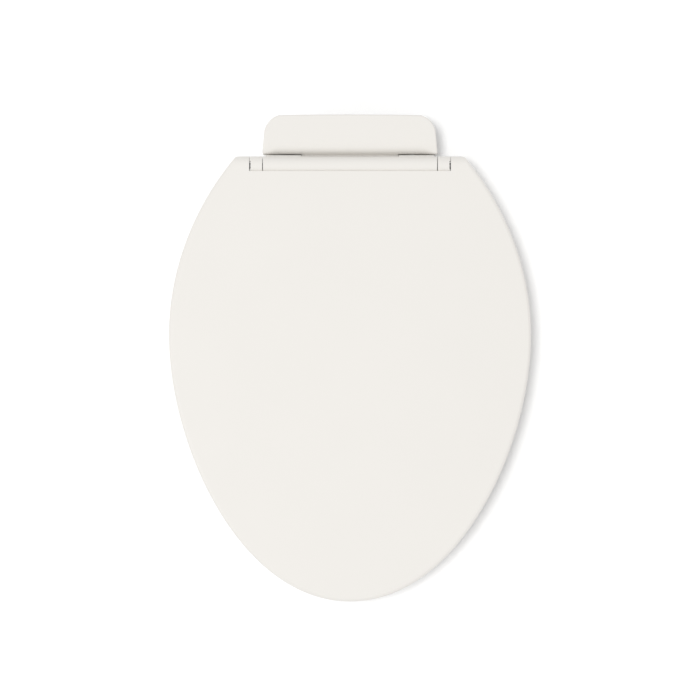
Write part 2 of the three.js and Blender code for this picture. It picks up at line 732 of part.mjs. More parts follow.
function lid() {
  const h = HINGE;
  const at = HINGE_AT;
  const plan = prism(PLAN_LOOP, [0, 80]);
  const ears = bothSides((side) => {
    const bar = rod("x", h.r, onSide(side, [EAR_X, 140]), at, 32);
    return bar.intersect(plan).intersect(prism(cornerPlan(side), [20, 60]));
  });
  const notch = section(
    [
      [h.y - 5.6, 80],
      [h.y - 5.6, h.z + 8.7],
      [h.y - 7.9, h.z + 6],
      [h.y - 7.9, 0],
      [60, 0],
      [60, 80],
    ],
    [-EAR_X, EAR_X],
  );
  const sheet = cut(lidShell(), box([-200, 200], [h.y, 60], [0, 80]), notch);
  const bores = union(
    rod("x", BUSH_R + GAP, [-SHAFT.x[1] - 0.4, -90], at, 20),
    rod("x", SHAFT.r + GAP, [90, SHAFT.x[1] + 0.4], at, 16),
  );
  return cut(union(sheet, ears), bores);
}

// An ear's plan: the back of the hinge and the lid's side, with a round that touches both.
function cornerPlan(side) {
  const [dx, dy] = PLAN.cornerPull;
  const facing = Math.atan2(dx, -dy); // the way the lid's side faces
  const rear = HINGE.y + HINGE.r;
  const cy = rear - LID.corner;
  const inwards = LID.corner + (cy - PLAN.corner[1]) * Math.sin(facing);
  const cx = PLAN.corner[0] - inwards / Math.cos(facing);
  const points = [[EAR_X - 5, rear - 30], [EAR_X - 5, rear]];
  for (let i = 0; i <= 6; i++) {
    const a = Math.PI / 2 + (i / 6) * (facing - Math.PI / 2);
    points.push([cx + LID.corner * Math.cos(a), cy + LID.corner * Math.sin(a)]);
  }
  const [endX, endY] = points.at(-1);
  points.push([endX + dx, endY + dy]);
  return points.map(([x, y]) => [side * x, y]);
}

const LID_PADS = [
  { name: "lid_bumper_front_left", x: -80, y: -408 },
  { name: "lid_bumper_front_right", x: 80, y: -408 },
  { name: "lid_bumper_rear_left", x: -142, y: -150 },
  { name: "lid_bumper_rear_right", x: 142, y: -150 },
];

const LID_PAD = { foot: 5.4, edge: 7, top: 8.5, roll: 2.2 };

function lidPad(x, y) {
  const p = LID_PAD;
  const edge = SEAT.top + p.roll;
  const stem = rod("z", p.edge, [edge, LID.top - LID.wall - 0.2], [x, y], 20, p.top);
  return union(stem, rod("z", p.foot, [SEAT.top + GAP, edge + 0.1], [x, y], 20, p.edge));
}

part("lid", lid(), WHITE);
for (const { name, x, y } of LID_PADS) part(name, lidPad(x, y), RUBBER);

// ---- Spray wand, its rack drive, its water feed and its guard -------------------------------

const wandFrame = new THREE.Group();
wandFrame.position.set(0, WAND.y, WAND.z);
wandFrame.rotation.x = WAND.tilt;
seat.add(wandFrame);

// A point of the seat's frame, in Y and Z, as the wand's frame sees it.
function inWandFrame(y, z) {
  const [dy, dz] = [y - WAND.y, z - WAND.z];
  const [c, s] = [Math.cos(WAND.tilt), Math.sin(WAND.tilt)];
  return [dy * c + dz * s, dz * c - dy * s];
}

const PITCH = GEAR.module * Math.PI;
const PITCH_R = (GEAR.module * GEAR.teeth) / 2;
const PITCH_LINE = RACK.root + 1.25 * GEAR.module;
const PINION_X = PITCH_LINE + PITCH_R;

function rack() {
  const half = (x) => PITCH / 4 - GEAR.slack / 4 - (x - PITCH_LINE) * Math.tan(GEAR.pressure);
  const outline = [[4, GEAR.y - 2]];
  for (let i = 0; i < RACK.teeth; i++) {
    const y = GEAR.y + i * PITCH;
    outline.push([RACK.root, y - half(RACK.root)], [RACK.tip, y - half(RACK.tip)]);
    outline.push([RACK.tip, y + half(RACK.tip)], [RACK.root, y + half(RACK.root)]);
  }
  outline.push([RACK.root, WAND.back], [4, WAND.back]);
  return prism(outline, [-RACK.halfHeight, RACK.halfHeight]);
}

const TIP = { nose: 3.4, stem: 3.3, end: 3.7, jet: 0.9, jets: [-10, -7], channel: 1.6 };

function wandTube() {
  const body = rod("y", WAND.r, [-2, WAND.back], [0, 0], 28);
  const feedBore = rod("y", FEED.r + GAP, [FEED.from - 4, WAND.back + 1], [0, 0], 16);
  const tipBore = rod("y", TIP.stem + GAP, [-3, TIP.end + GAP], [0, 0], 16);
  return cut(union(body, rack()), feedBore, tipBore);
}

// The tip points its jets up, through two holes in a flat on its top.
function nozzleTip() {
  const shoulder = WAND.front + TIP.nose;
  const nose = rod("y", TIP.nose, [WAND.front, shoulder], [0, 0], 28, WAND.r);
  const body = rod("y", WAND.r, [shoulder, -2.3], [0, 0], 28);
  const stem = rod("y", TIP.stem, [-2.4, TIP.end], [0, 0], 16);
  const flat = box([-4, 4], [WAND.front + 4, -4], [WAND.r - 1, WAND.r + 2]);
  const jets = TIP.jets.map((y) => rod("z", TIP.jet, [-1, WAND.r + 2], [0, y], 10));
  const channel = rod("y", TIP.channel, [TIP.jets[0] - 1, 5], [0, 0], 12);
  return cut(union(nose, body, stem), flat, ...jets, channel);
}

const MOTOR = { r: 10, z: [6.6, 16.6], flange: 8 };

// One tooth space faces the rack. The flanks are involutes.
function pinion() {
  const base = PITCH_R * Math.cos(GEAR.pressure);
  const roll = (r) => Math.sqrt(Math.max(0, (r / base) ** 2 - 1));
  const involute = (r) => roll(r) - Math.atan(roll(r));
  const atPitch = Math.PI / (2 * GEAR.teeth) - GEAR.slack / 4 / PITCH_R + involute(PITCH_R);
  const outline = [];
  for (let i = 0; i < GEAR.teeth; i++) {
    const centre = Math.PI + ((i + 0.5) * 2 * Math.PI) / GEAR.teeth;
    const radii = [GEAR.root, base, PITCH_R, GEAR.tip];
    const flank = radii.map((r) => [r, atPitch - involute(r)]);
    const tooth = [...flank.map(([r, a]) => [r, -a]), ...flank.reverse()];
    for (const [r, a] of tooth) {
      outline.push([PINION_X + r * Math.cos(centre + a), GEAR.y + r * Math.sin(centre + a)]);
    }
  }
  const at = [PINION_X, GEAR.y];
  const hub = rod("z", 3.2, [2.4, 5.8], at, 16);
  const spindle = rod("z", GEAR.spindle, [-4.6, MOTOR.z[0] + 2.4], at, 16);
  return union(prism(outline, [-GEAR.halfFace, GEAR.halfFace]), hub, spindle);
}

function driveMotor() {
  const at = [PINION_X, GEAR.y];
  const base = MOTOR.z[0];
  const can = rod("z", MOTOR.r, MOTOR.z, at, 28);
  const earX = [PINION_X - 2.5, PINION_X + 2.5];
  const ear = box(earX, [GEAR.y - 2, GEAR.y + MOTOR.r + 4], [base, MOTOR.flange]);
  return cut(union(can, ear), rod("z", GEAR.spindle + GAP, [base - 0.6, base + 2.8], at, 14));
}

const CRADLE = { x: 9, y: [26, 52], foot: [-59, -33], floor: 3.5 };
const MANIFOLD = { x: [-8, 8], y: [90, 99], z: [-6, 8] };

// The cradle stands level on the chassis floor and carries the tilted wand.
function cradle() {
  const { x, y, foot } = CRADLE;
  const side = WAND.r + GAP;
  const feet = foot.map((place) => inWandFrame(place, CRADLE.floor));
  const block = section([...feet, [y[1], -side - 2], [y[1], -side], [y[0], -side]], [-x, x]);
  const leftWall = box([-x, -side], y, [-side - 1, WAND.r / 2]);
  const rightWall = box([side, x], y, [-side - 1, -RACK.halfHeight - 0.5]);
  return union(block, leftWall, rightWall);
}

function feedManifold() {
  const { x, y, z } = MANIFOLD;
  const bore = rod("y", FEED.r + GAP, [y[0] - 1, FEED.to + 0.5], [0, 0], 16);
  return cut(box(x, y, z), bore);
}

function feedTube() {
  const outer = rod("y", FEED.r, [FEED.from, FEED.to], [0, 0], 16);
  return cut(outer, rod("y", FEED.bore, [FEED.from - 1, FEED.to + 0.5], [0, 0], 12));
}

// An arch that hangs in the mouth of the wand's housing. The wand comes out under it.
function nozzleGuard() {
  const g = GUARD;
  const face = box([-g.width, g.width], [POD.front, POD.front + 2], [g.bottom, g.top]);
  const mouthY = [POD.front - 1, POD.front + 3];
  const mouth = box([-g.notch, g.notch], mouthY, [g.bottom - 1, g.arch]);
  const pivots = bothSides((side) =>
    union(
      rod("x", g.hub, onSide(side, [g.width - 3, g.width]), [g.y, g.z], 16),
      rod("x", g.pin, onSide(side, [g.width - 1, POD.x - 0.1]), [g.y, g.z], 12),
    ),
  );
  return union(cut(face, mouth), pivots);
}

part("wand_tube", wandTube(), INNER_WHITE, wandFrame);
part("nozzle_tip", nozzleTip(), GREY_PLASTIC, wandFrame);
part("wand_pinion", pinion(), BLACK_PLASTIC, wandFrame);
part("wand_motor", driveMotor(), STEEL, wandFrame);
part("wand_cradle", cradle(), GREY_PLASTIC, wandFrame);
part("feed_manifold", feedManifold(), GREY_PLASTIC, wandFrame);
part("feed_tube", feedTube(), STEEL, wandFrame);
part("nozzle_guard", nozzleGuard(), WHITE);

// ---- Buttons --------------------------------------------------------------------------------

function sideButton(y, face) {
  const b = BUTTON;
  return union(
    rod("x", b.r, [face, b.back], [y, BUTTON_Z], 20),
    rod("x", b.collar, [b.back - 0.7, b.back + 0.7], [y, BUTTON_Z], 20),
    rod("x", b.stem, [b.back + 0.5, b.end], [y, BUTTON_Z], 12),
  );
}

// It slides in the right wall of the tray, low down, and frees the chassis from the plate.
function releaseButton() {
  return box([POCKET.x - 0.2, RELEASE.face], RELEASE.y, RELEASE.z);
}

for (const { name, y, face } of BUTTONS) part(name, sideButton(y, face), GREY_PLASTIC);
part("release_button", releaseButton(), GREY_PLASTIC);

// ---- Electrics and water path ---------------------------------------------------------------

const BOARD = { x: [-74.6, -73], y: [-14, 10], z: [12.4, 31] };
const FILTER = { r: 4.2, y: [7, 15] };
const HOSE_R = { valve: 3, nozzle: 2.8 };
const HOSE_Z = 18;
const NOZZLE_HOSE = [
  [38, -47.7, HOSE_Z],
  [38, -26, 19],
  [34, -5, 24],
  [22, 7, 27.4],
  [8.4, 8.3, 27.4],
];

function controlBoard() {
  const face = BOARD.x[1] - 0.1;
  const chip = box([face, face + 1.1], [-3, 5], [16, 24]);
  const plug = box([face, face + 1.7], [-12, -8], [14, 28]);
  const switchX = [BOARD.x[0] - 0.7, BOARD.x[0] + 0.1];
  const switches = BUTTONS.map(({ y }) => rod("x", 1.6, switchX, [y, BUTTON_Z], 10));
  return union(box(BOARD.x, BOARD.y, BOARD.z), chip, plug, ...switches);
}

// A box with a smaller lid on it.
function lidded({ x, y, z }, rise) {
  const step = 2;
  const lip = box([x[0] + step, x[1] - step], [y[0] + step, y[1] - step], [z[1] - 0.1, z[1] + rise]);
  return union(box(x, y, z), lip);
}

function powerInlet() {
  const at = [POWER.x, POWER.z];
  const body = rod("y", POWER.r, [6, SOCKET_FACE], at, 24);
  const socket = rod("y", POWER.socket, [12, SOCKET_FACE + 1], at, 16);
  return union(cut(body, socket), rod("y", 1, [11.9, 18], at, 10));
}

function waterInlet() {
  const at = [WATER.x, WATER.z];
  const body = rod("y", WATER.r, [VALVE.y[1] + GAP, SOCKET_FACE], at, 24);
  return cut(body, rod("y", WATER.socket, [FILTER.y[0] - 1, SOCKET_FACE + 1], at, 20));
}

function valveBody() {
  const v = VALVE;
  return cut(box(v.x, v.y, v.z), rod("z", v.r + GAP, [17.5, v.z[1] + 1], v.centre, 16));
}

function valveCoil() {
  const base = VALVE.z[1];
  const yoke = (z) => box(COIL.yokeX, COIL.yokeY, z);
  const winding = rod("z", COIL.r, [base + 0.9, COIL.top], VALVE.centre, 24);
  const plates = union(yoke([base + GAP, base + 1.3]), yoke([COIL.top - 0.4, COIL.top + 0.8]));
  const bore = rod("z", VALVE.r + GAP, [base - 3, COIL.top + 2], VALVE.centre, 16);
  return cut(union(winding, plates), bore);
}

part("control_board", controlBoard(), BOARD_GREEN);
part("power_module", lidded(POWER_BOX, 1.5), BLACK_PLASTIC);
part("power_inlet", powerInlet(), BLACK_PLASTIC);
part("water_inlet", waterInlet(), BRASS);
part("inlet_filter", rod("y", FILTER.r, FILTER.y, [WATER.x, WATER.z], 16), INNER_WHITE);
part("valve_body", valveBody(), INNER_WHITE);
part("valve_coil", valveCoil(), COPPER);
part("valve_plunger", rod("z", VALVE.r, [18.5, 30], VALVE.centre, 16), STEEL);
part("flow_heater", lidded(FLOW_BOX, 2), STEEL);
const valveHoseY = [FLOW_BOX.y[1] + GAP, VALVE.y[0] - GAP];
part("valve_hose", rod("y", HOSE_R.valve, valveHoseY, [WATER.x, HOSE_Z], 14), HOSE);
part("nozzle_hose", tube(NOZZLE_HOSE, HOSE_R.nozzle, 14, 5), HOSE);

export default seat;
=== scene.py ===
"""Looks of the electric bidet seat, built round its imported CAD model.

Shapes are written in millimetres, as in the CAD source, and turned to metres when a mesh is made.
+Z is up, -Y is the front of the bowl, and the hinge line runs along X.
"""

import json
import math

import bmesh
import bpy
from mathutils import Matrix, Vector


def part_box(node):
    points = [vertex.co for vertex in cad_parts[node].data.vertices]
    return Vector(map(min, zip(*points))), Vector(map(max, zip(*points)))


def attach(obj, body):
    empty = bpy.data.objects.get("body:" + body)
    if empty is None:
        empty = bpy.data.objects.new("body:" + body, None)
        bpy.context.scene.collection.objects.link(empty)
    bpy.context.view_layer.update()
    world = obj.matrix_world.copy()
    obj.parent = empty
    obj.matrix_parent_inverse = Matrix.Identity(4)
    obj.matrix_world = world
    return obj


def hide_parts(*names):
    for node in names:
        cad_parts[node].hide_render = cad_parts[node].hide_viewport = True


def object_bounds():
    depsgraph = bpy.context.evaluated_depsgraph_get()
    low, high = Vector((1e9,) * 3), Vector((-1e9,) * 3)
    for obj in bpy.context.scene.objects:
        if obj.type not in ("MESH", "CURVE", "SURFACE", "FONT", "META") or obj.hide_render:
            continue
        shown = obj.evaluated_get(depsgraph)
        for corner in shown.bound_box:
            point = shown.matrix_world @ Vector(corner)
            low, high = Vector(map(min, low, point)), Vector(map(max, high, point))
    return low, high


MM = 0.001
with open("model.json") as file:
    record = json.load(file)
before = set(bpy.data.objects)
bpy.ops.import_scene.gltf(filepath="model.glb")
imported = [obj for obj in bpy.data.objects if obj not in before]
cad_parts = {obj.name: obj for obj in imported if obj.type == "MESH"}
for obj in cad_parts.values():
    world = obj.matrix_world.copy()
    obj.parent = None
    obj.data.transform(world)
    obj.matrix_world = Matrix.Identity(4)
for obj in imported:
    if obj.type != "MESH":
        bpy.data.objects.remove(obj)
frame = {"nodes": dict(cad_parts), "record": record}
cad_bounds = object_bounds()

# ---- Driving sizes, in millimetres ----------------------------------------------------------

HINGE_Y, HINGE_Z, HINGE_R = -31.3, 40.5, 9.5
EAR_X = 100.9  # the lid's hinge ears start here
KNUCKLE = (87.9, 99.5)  # the seat's hinge knuckles
BARREL_X = 87.2
LID_BORE_R, SEAT_BORE_R, DAMPER_BORE_R = 5.3, 5.2, 7.0

TIP_Y = -468.3
WIDE_X, WIDE_Y = 181.8, -201.2
CORNER = (114.7, -22.0)
SIDE_RUN = (19.5, -22.2)  # the way the lid's side leaves the corner
REAR_PULL, FRONT_PULL, TIP_PULL = 91.6, 109.2, 111.2  # lengths of its curves' handles

LID_TOP, LID_SKIRT, LID_WALL, LID_EDGE, LID_CORNER = 50.0, 34.0, 3.0, 3.6, 9.0
LID_CENTRE, LID_CROWN = (0.0, -230.0, 0.0), 1.2
SEAT_TOP, SEAT_BOTTOM, SEAT_SPLIT, SEAT_WALL = 33.0, 10.0, 20.0, 2.6
SEAT_INSET, SEAT_REAR = 5.0, -44.0
OPENING = {"y": -262.0, "half_width": 112.0, "front": 150.0, "rear": 148.0, "power": 2.2}
BAY_X, BAY_FRONT = 87.4, -84.0
POD_X, POD_REACH = 39.0, -125.0  # the notch in the seat for the wand's housing

# The top of a seat arm in Y and Z: beside its knuckle, at its root, and down to the ring.
ARM_NECK = [(-45, 39), (-48, 36.9)]
ARM_ROOT = [(-46.5, 32.4), (-50.0, 34.6)]
ARM_SLOPE = [(-52, 35.0), (-57, 33.7), (-63, 32.9), (-70, 32.2), (-74, 31.6)]

BODY_FRONT, BODY_REAR, BODY_SPLIT = -82.5, 20.5, 14.0
HOUSING = {"front": -19.2, "half_width": 87.9, "taper": 1.5, "corner": 20.5, "top": 39.5}
DECK = {"half_width": 85.1, "rear": -42.8, "top": 38.0, "drop": 2.0, "round": 9.0, "side": 2.5}
COVER_WALL = 2.2
# The bridge between barrel and housing, from below to above. It is lower than the CAD model's,
# and the top of the wand's rack still reaches 2.3 mm into its underside, unseen.
NECK = (24.5, 28.2)
NECK_X = 48.5
LIP_REAR, LIP_TOP = -20.6, 38.3  # the ledges behind the barrel, beside its neck
SADDLE_X = 84

BOLT_SIDES = (("left", -70.0), ("right", 70.0))
BUTTONS = ("power_button", "stop_button")
WAND = {"y": -84.0, "z": 6.6, "tilt": 12.0}  # the middle of its tip's base, and its slope
GUARD = {"y": -100.0, "z": 8.5}  # the guard's hinge line

LOOP_POINTS = 240  # round the seat's outline

# ---- Meshes ---------------------------------------------------------------------------------


def make(name, points, faces):
    """A mesh object from points in millimetres, with its faces turned out."""
    mesh = bpy.data.meshes.new(name)
    mesh.from_pydata([[c * MM for c in p] for p in points], [], faces)
    bm = bmesh.new()
    bm.from_mesh(mesh)
    bmesh.ops.remove_doubles(bm, verts=bm.verts, dist=1e-7)
    bmesh.ops.recalc_face_normals(bm, faces=bm.faces)
    bm.to_mesh(mesh)
    bm.free()
    obj = bpy.data.objects.new(name, mesh)
    bpy.context.scene.collection.objects.link(obj)
    return obj


def loft(name, loops, ring=False):
    """A skin over loops of equally many points. A ring closes on itself, and the rest is capped."""
    n = len(loops[0])
    points = [p for loop in loops for p in loop]
    faces = []
    for i in range(len(loops) if ring else len(loops) - 1):
        a, b = i * n, (i + 1) % len(loops) * n
        for j in range(n):
            k = (j + 1) % n
            faces.append((a + j, a + k, b + k, b + j))
    if not ring:
        faces.append(tuple(range(n)))
        faces.append(tuple(range(len(points) - n, len(points))))
    return make(name, points, faces)


def lathe(name, profile, centre, axis="z", sides=48, ring=False):
    """A turned solid. profile is (radius, place along the axis). Its ends are capped, or it
    closes on itself where the piece has a bore."""
    loops = []
    for r, s in profile:
        loop = []
        for i in range(sides):
            a = 2 * math.pi * i / sides
            u, v = r * math.cos(a), r * math.sin(a)
            at = {"x": (s, u, v), "y": (u, s, v), "z": (u, v, s)}[axis]
            loop.append([at[k] + centre[k] for k in range(3)])
        loops.append(loop)
    return loft(name, loops, ring)


def block(name, x, y, z):
    """A box between two places on each axis."""
    loops = [[(x[0], y[0], h), (x[1], y[0], h), (x[1], y[1], h), (x[0], y[1], h)] for h in z]
    return loft(name, loops)


def swept(name, profile, x):
    """An outline in Y and Z, run along X."""
    return loft(name, [[(at, py, pz) for py, pz in profile] for at in x])


def plate(name, outline_xz, y):
    """An outline in X and Z, run along Y."""
    return loft(name, [[(px, at, pz) for px, pz in outline_xz] for at in y])


def combine(obj, *others, how="DIFFERENCE"):
    """Cuts the others from obj, joins them to it or keeps what they share, and removes them."""
    for other in others:
        modifier = obj.modifiers.new("combine", "BOOLEAN")
        modifier.operation = how
        modifier.solver = "EXACT"
        modifier.object = other
        settle(obj)
        bpy.data.objects.remove(other)
    return obj


def settle(obj):
    """Applies obj's modifiers to its mesh."""
    bpy.context.view_layer.update()
    evaluated = obj.evaluated_get(bpy.context.evaluated_depsgraph_get())
    mesh = bpy.data.meshes.new_from_object(evaluated)
    obj.modifiers.clear()
    obj.data = mesh
    return obj


def tidy(obj, merge=0.004):
    """Merges what a cut left closer together than a few microns."""
    bm = bmesh.new()
    bm.from_mesh(obj.data)
    bmesh.ops.remove_doubles(bm, verts=bm.verts, dist=merge * MM)
    bmesh.ops.dissolve_degenerate(bm, edges=bm.edges, dist=merge * MM)
    bm.to_mesh(obj.data)
    bm.free()
    return obj


def soften(obj, width, segments=2, angle=35.0):
    """Rounds the sharp edges and shades the rest smooth."""
    for polygon in obj.data.polygons:
        polygon.use_smooth = True
    bevel = obj.modifiers.new("edges", "BEVEL")
    bevel.width = width * MM
    bevel.segments = segments
    bevel.limit_method = "ANGLE"
    bevel.angle_limit = math.radians(angle)
    bevel.miter_outer = "MITER_ARC"
    normals = obj.modifiers.new("normals", "WEIGHTED_NORMAL")
    normals.keep_sharp = False
    return obj


# ---- Outlines shared by lid and seat --------------------------------------------------------


def bezier(p0, p1, p2, p3, count):
    """Points along a cubic curve, evenly spaced along its length."""
    fine = []
    samples = 400
    for i in range(samples + 1):
        t = i / samples
        w = ((1 - t) ** 3, 3 * t * (1 - t) ** 2, 3 * t * t * (1 - t), t**3)
        x = sum(k * p[0] for k, p in zip(w, (p0, p1, p2, p3)))
        y = sum(k * p[1] for k, p in zip(w, (p0, p1, p2, p3)))
        fine.append((x, y))
    lengths = [0.0]
    for a, b in zip(fine, fine[1:]):
        lengths.append(lengths[-1] + math.dist(a, b))
    points, i = [], 0
    for step in range(count + 1):
        target = lengths[-1] * step / count
        while i < len(fine) - 2 and lengths[i + 1] < target:
            i += 1
        share = (target - lengths[i]) / (lengths[i + 1] - lengths[i])
        a, b = fine[i], fine[i + 1]
        points.append((a[0] + (b[0] - a[0]) * share, a[1] + (b[1] - a[1]) * share))
    return points


def outline():
    """The lid's plan, clockwise from behind the hinge. Its rear is cut off later."""
    half = LOOP_POINTS // 2
    rear_count = half // 3
    front_count = half - rear_count
    slope = SIDE_RUN[0] / SIDE_RUN[1]
    overrun = 14.0
    behind = (CORNER[0] + slope * overrun, CORNER[1] + overrun)
    leave = (CORNER[0] + SIDE_RUN[0], CORNER[1] + SIDE_RUN[1])
    widest, tip = (WIDE_X, WIDE_Y), (0.0, TIP_Y)
    rear = bezier(CORNER, leave, (WIDE_X, WIDE_Y + REAR_PULL), widest, rear_count)
    front = bezier(widest, (WIDE_X, WIDE_Y - FRONT_PULL), (TIP_PULL, TIP_Y), tip, front_count)
    right = [(behind[0] * s, behind[1]) for s in (0.25, 0.5, 0.75)]
    right += [behind] + rear + front[1:]
    left = [(-x, y) for x, y in reversed(right[:-1])]
    return right + left


OUTLINE = outline()


def inset(distance, z):
    """The outline moved inwards by a distance, at a height."""
    n = len(OUTLINE)
    loop = []
    for i, (x, y) in enumerate(OUTLINE):
        ax, ay = OUTLINE[i - 1]
        bx, by = OUTLINE[(i + 1) % n]
        length = math.hypot(bx - ax, by - ay)
        loop.append((x + (by - ay) / length * distance, y - (bx - ax) / length * distance, z))
    return loop


def opening(distance, z):
    """The seat's opening, moved outwards by a distance, in the outline's directions."""
    loop = []
    for x, y in OUTLINE:
        angle = math.atan2(y - OPENING["y"], x)
        along = OPENING["rear"] if y > OPENING["y"] else OPENING["front"]
        c = abs(math.cos(angle)) / (OPENING["half_width"] + distance)
        s = abs(math.sin(angle)) / (along + distance)
        r = (c ** OPENING["power"] + s ** OPENING["power"]) ** (-1 / OPENING["power"])
        loop.append((r * math.cos(angle), OPENING["y"] + r * math.sin(angle), z))
    return loop


def between(a, b, share, z):
    """A loop part of the way from a to b, at a height."""
    return [(p[0] + (q[0] - p[0]) * share, p[1] + (q[1] - p[1]) * share, z) for p, q in zip(a, b)]


def quarter(steps):
    """Angles from 0 to 90 degrees as (1 - cos, sin) pairs, for an edge's round."""
    turns = [math.pi / 2 * i / steps for i in range(steps + 1)]
    return [(1 - math.cos(a), math.sin(a)) for a in turns]


# ---- Lid ------------------------------------------------------------------------------------


def dome(start, share, z):
    """A loop of the lid's crowned top, part of the way in from the edge."""
    centre = [LID_CENTRE] * len(OUTLINE)
    rise = LID_CROWN * (1 - (1 - share) ** 2)
    return between(inset(start, 0), centre, share, z + rise)


def lid_outside():
    """The lid's outer loops, from its skirt over its rounded edge to its top."""
    draft = 0.5
    rows = [inset(0.0, LID_SKIRT + 0.6)]
    rows += [
        inset(draft + LID_EDGE * c, LID_TOP - LID_EDGE + LID_EDGE * s) for c, s in quarter(8)
    ]
    start = draft + LID_EDGE
    return rows + [dome(start, s, LID_TOP) for s in (0.02, 0.06, 0.12, 0.2, 0.35, 0.5, 0.7, 0.9)]


def lid_skin():
    """The lid as a hollow tray upside down, running on past the hinge."""
    under = LID_TOP - LID_WALL
    inner = [dome(LID_WALL + 4, s, under) for s in (0.9, 0.7, 0.5, 0.35, 0.2, 0.1, 0.03)]
    fillet = 2.5
    inner += [
        inset(LID_WALL + fillet * c, under - fillet + fillet * s) for c, s in reversed(quarter(5))
    ]
    inner += [inset(LID_WALL, LID_SKIRT + 0.4), inset(LID_WALL - 0.4, LID_SKIRT)]
    return loft("lid_shell", inner + [inset(0.5, LID_SKIRT)] + lid_outside())


def corner_plan(side, d, z):
    """The back of the hinge and the lid's side with a round that touches both, moved in by d."""
    facing = math.atan2(SIDE_RUN[0], -SIDE_RUN[1])
    rear = HINGE_Y + HINGE_R
    cy = rear - LID_CORNER
    inwards = LID_CORNER + (cy - CORNER[1]) * math.sin(facing)
    cx = CORNER[0] - inwards / math.cos(facing)
    r = LID_CORNER - d
    points = [(EAR_X - 5, rear - 30), (EAR_X - 5, rear - d)]
    for i in range(13):
        a = math.pi / 2 + (facing - math.pi / 2) * i / 12
        points.append((cx + r * math.cos(a), cy + r * math.sin(a)))
    points.append((points[-1][0] + SIDE_RUN[0], points[-1][1] + SIDE_RUN[1]))
    return [(x * side, y, z) for x, y in points]


def ear(side):
    """The rounded rear end of the lid on one side."""
    past_lid, below_lid = 140.0, 20.0
    bar = lathe("ear", [(HINGE_R, EAR_X * side), (HINGE_R, past_lid * side)],
                (0, HINGE_Y, HINGE_Z), axis="x", sides=96)
    rounded = [(LID_EDGE * c, LID_TOP - LID_EDGE + LID_EDGE * s) for c, s in quarter(8)]
    corner = [corner_plan(side, d, z) for d, z in [(0.0, below_lid)] + rounded[:-1]]
    combine(bar, loft("corner", corner), how="INTERSECT")
    envelope = loft("envelope", [inset(0.0, below_lid)] + lid_outside())
    return combine(bar, envelope, how="INTERSECT")


def build_lid():
    """The lid, cut out for the barrel, with its two ears on the hinge line."""
    lid = lid_skin()
    edge, wall = HINGE_Y - 5.6, HINGE_Y - 7.9
    front = [(edge, 80), (edge, HINGE_Z + 8.0), (wall, HINGE_Z + 6)]
    notch = swept("notch", front + [(wall, 0), (60, 0), (60, 80)], (-EAR_X, EAR_X))
    combine(lid, block("behind", (-200, 200), (HINGE_Y, 60), (0, 80)), notch)
    combine(lid, ear(1), ear(-1), how="UNION")
    bore_x = 112.4
    bore = lathe("bore", [(LID_BORE_R, -bore_x), (LID_BORE_R, bore_x)], (0, HINGE_Y, HINGE_Z), "x")
    combine(lid, bore)
    tidy(lid)
    return soften(lid, 0.5)


# ---- Seat -----------------------------------------------------------------------------------


def seat_ring(name, d):
    """The seat as a solid ring, every surface moved inwards by d."""
    top, low = SEAT_TOP - d, SEAT_BOTTOM + d
    out_w, out_h, in_w, in_h = 12.0, 9.0, 9.0, 6.4
    dish = 2.2
    rows = [inset(SEAT_INSET + d + 3 * c, low + 3 - 3 * s) for c, s in reversed(quarter(4))]
    rows += [
        inset(SEAT_INSET + d + out_w * c, top - out_h + out_h * s) for c, s in quarter(10)
    ]
    outer = inset(SEAT_INSET + d + out_w, 0)
    inner = opening(d + in_w, 0)
    for share in (0.12, 0.25, 0.4, 0.55, 0.7, 0.85):
        fall = dish * share * share
        rows.append(between(outer, inner, share, top - fall))
    rim = top - dish
    rows += [opening(d + in_w * c, rim - in_h + in_h * s) for c, s in reversed(quarter(8))]
    rows += [opening(d + 3 * c, low + 3 - 3 * s) for c, s in quarter(4)]
    return loft(name, rows, ring=True)


def relief(d):
    """Room for the chassis between the arms, for the hinge and for the wand's housing."""
    pod = POD_X + d
    return [
        block("bay", (-BAY_X - d, BAY_X + d), (BAY_FRONT - d, 50), (-5, 60)),
        block("hinge_room", (-200, 200), (SEAT_REAR - d, 50), (-5, 60)),
        block("pod_room", (-pod, pod), (POD_REACH - d, -60), (-5, SEAT_SPLIT + d)),
    ]


def seat_shell(name):
    """The whole seat, hollow, before it is parted into its top and its bottom."""
    outside = combine(seat_ring(name, 0.0), *relief(0.0))
    inside = combine(seat_ring("cavity", SEAT_WALL), *relief(SEAT_WALL))
    return combine(outside, inside)


def gusset(side, low):
    """The hollow round between an arm's outer side and the top of the ring."""
    reach, depth, forwards = 9.0, 5.0, 5.4
    inside_arm = (KNUCKLE[1] - 3.0, 0.0, 0.0)
    hollow = [(KNUCKLE[1] + reach * c, c, s) for c, s in quarter(8)]
    loops = []
    for x, c, s in [inside_arm] + hollow:
        top = [(y - forwards * c, z - depth * s) for y, z in ARM_ROOT + ARM_SLOPE]
        loop = top + [(top[-1][0], low), (top[0][0], low)]
        loops.append([(x * side, y, z) for y, z in loop])
    return loft("gusset", loops)


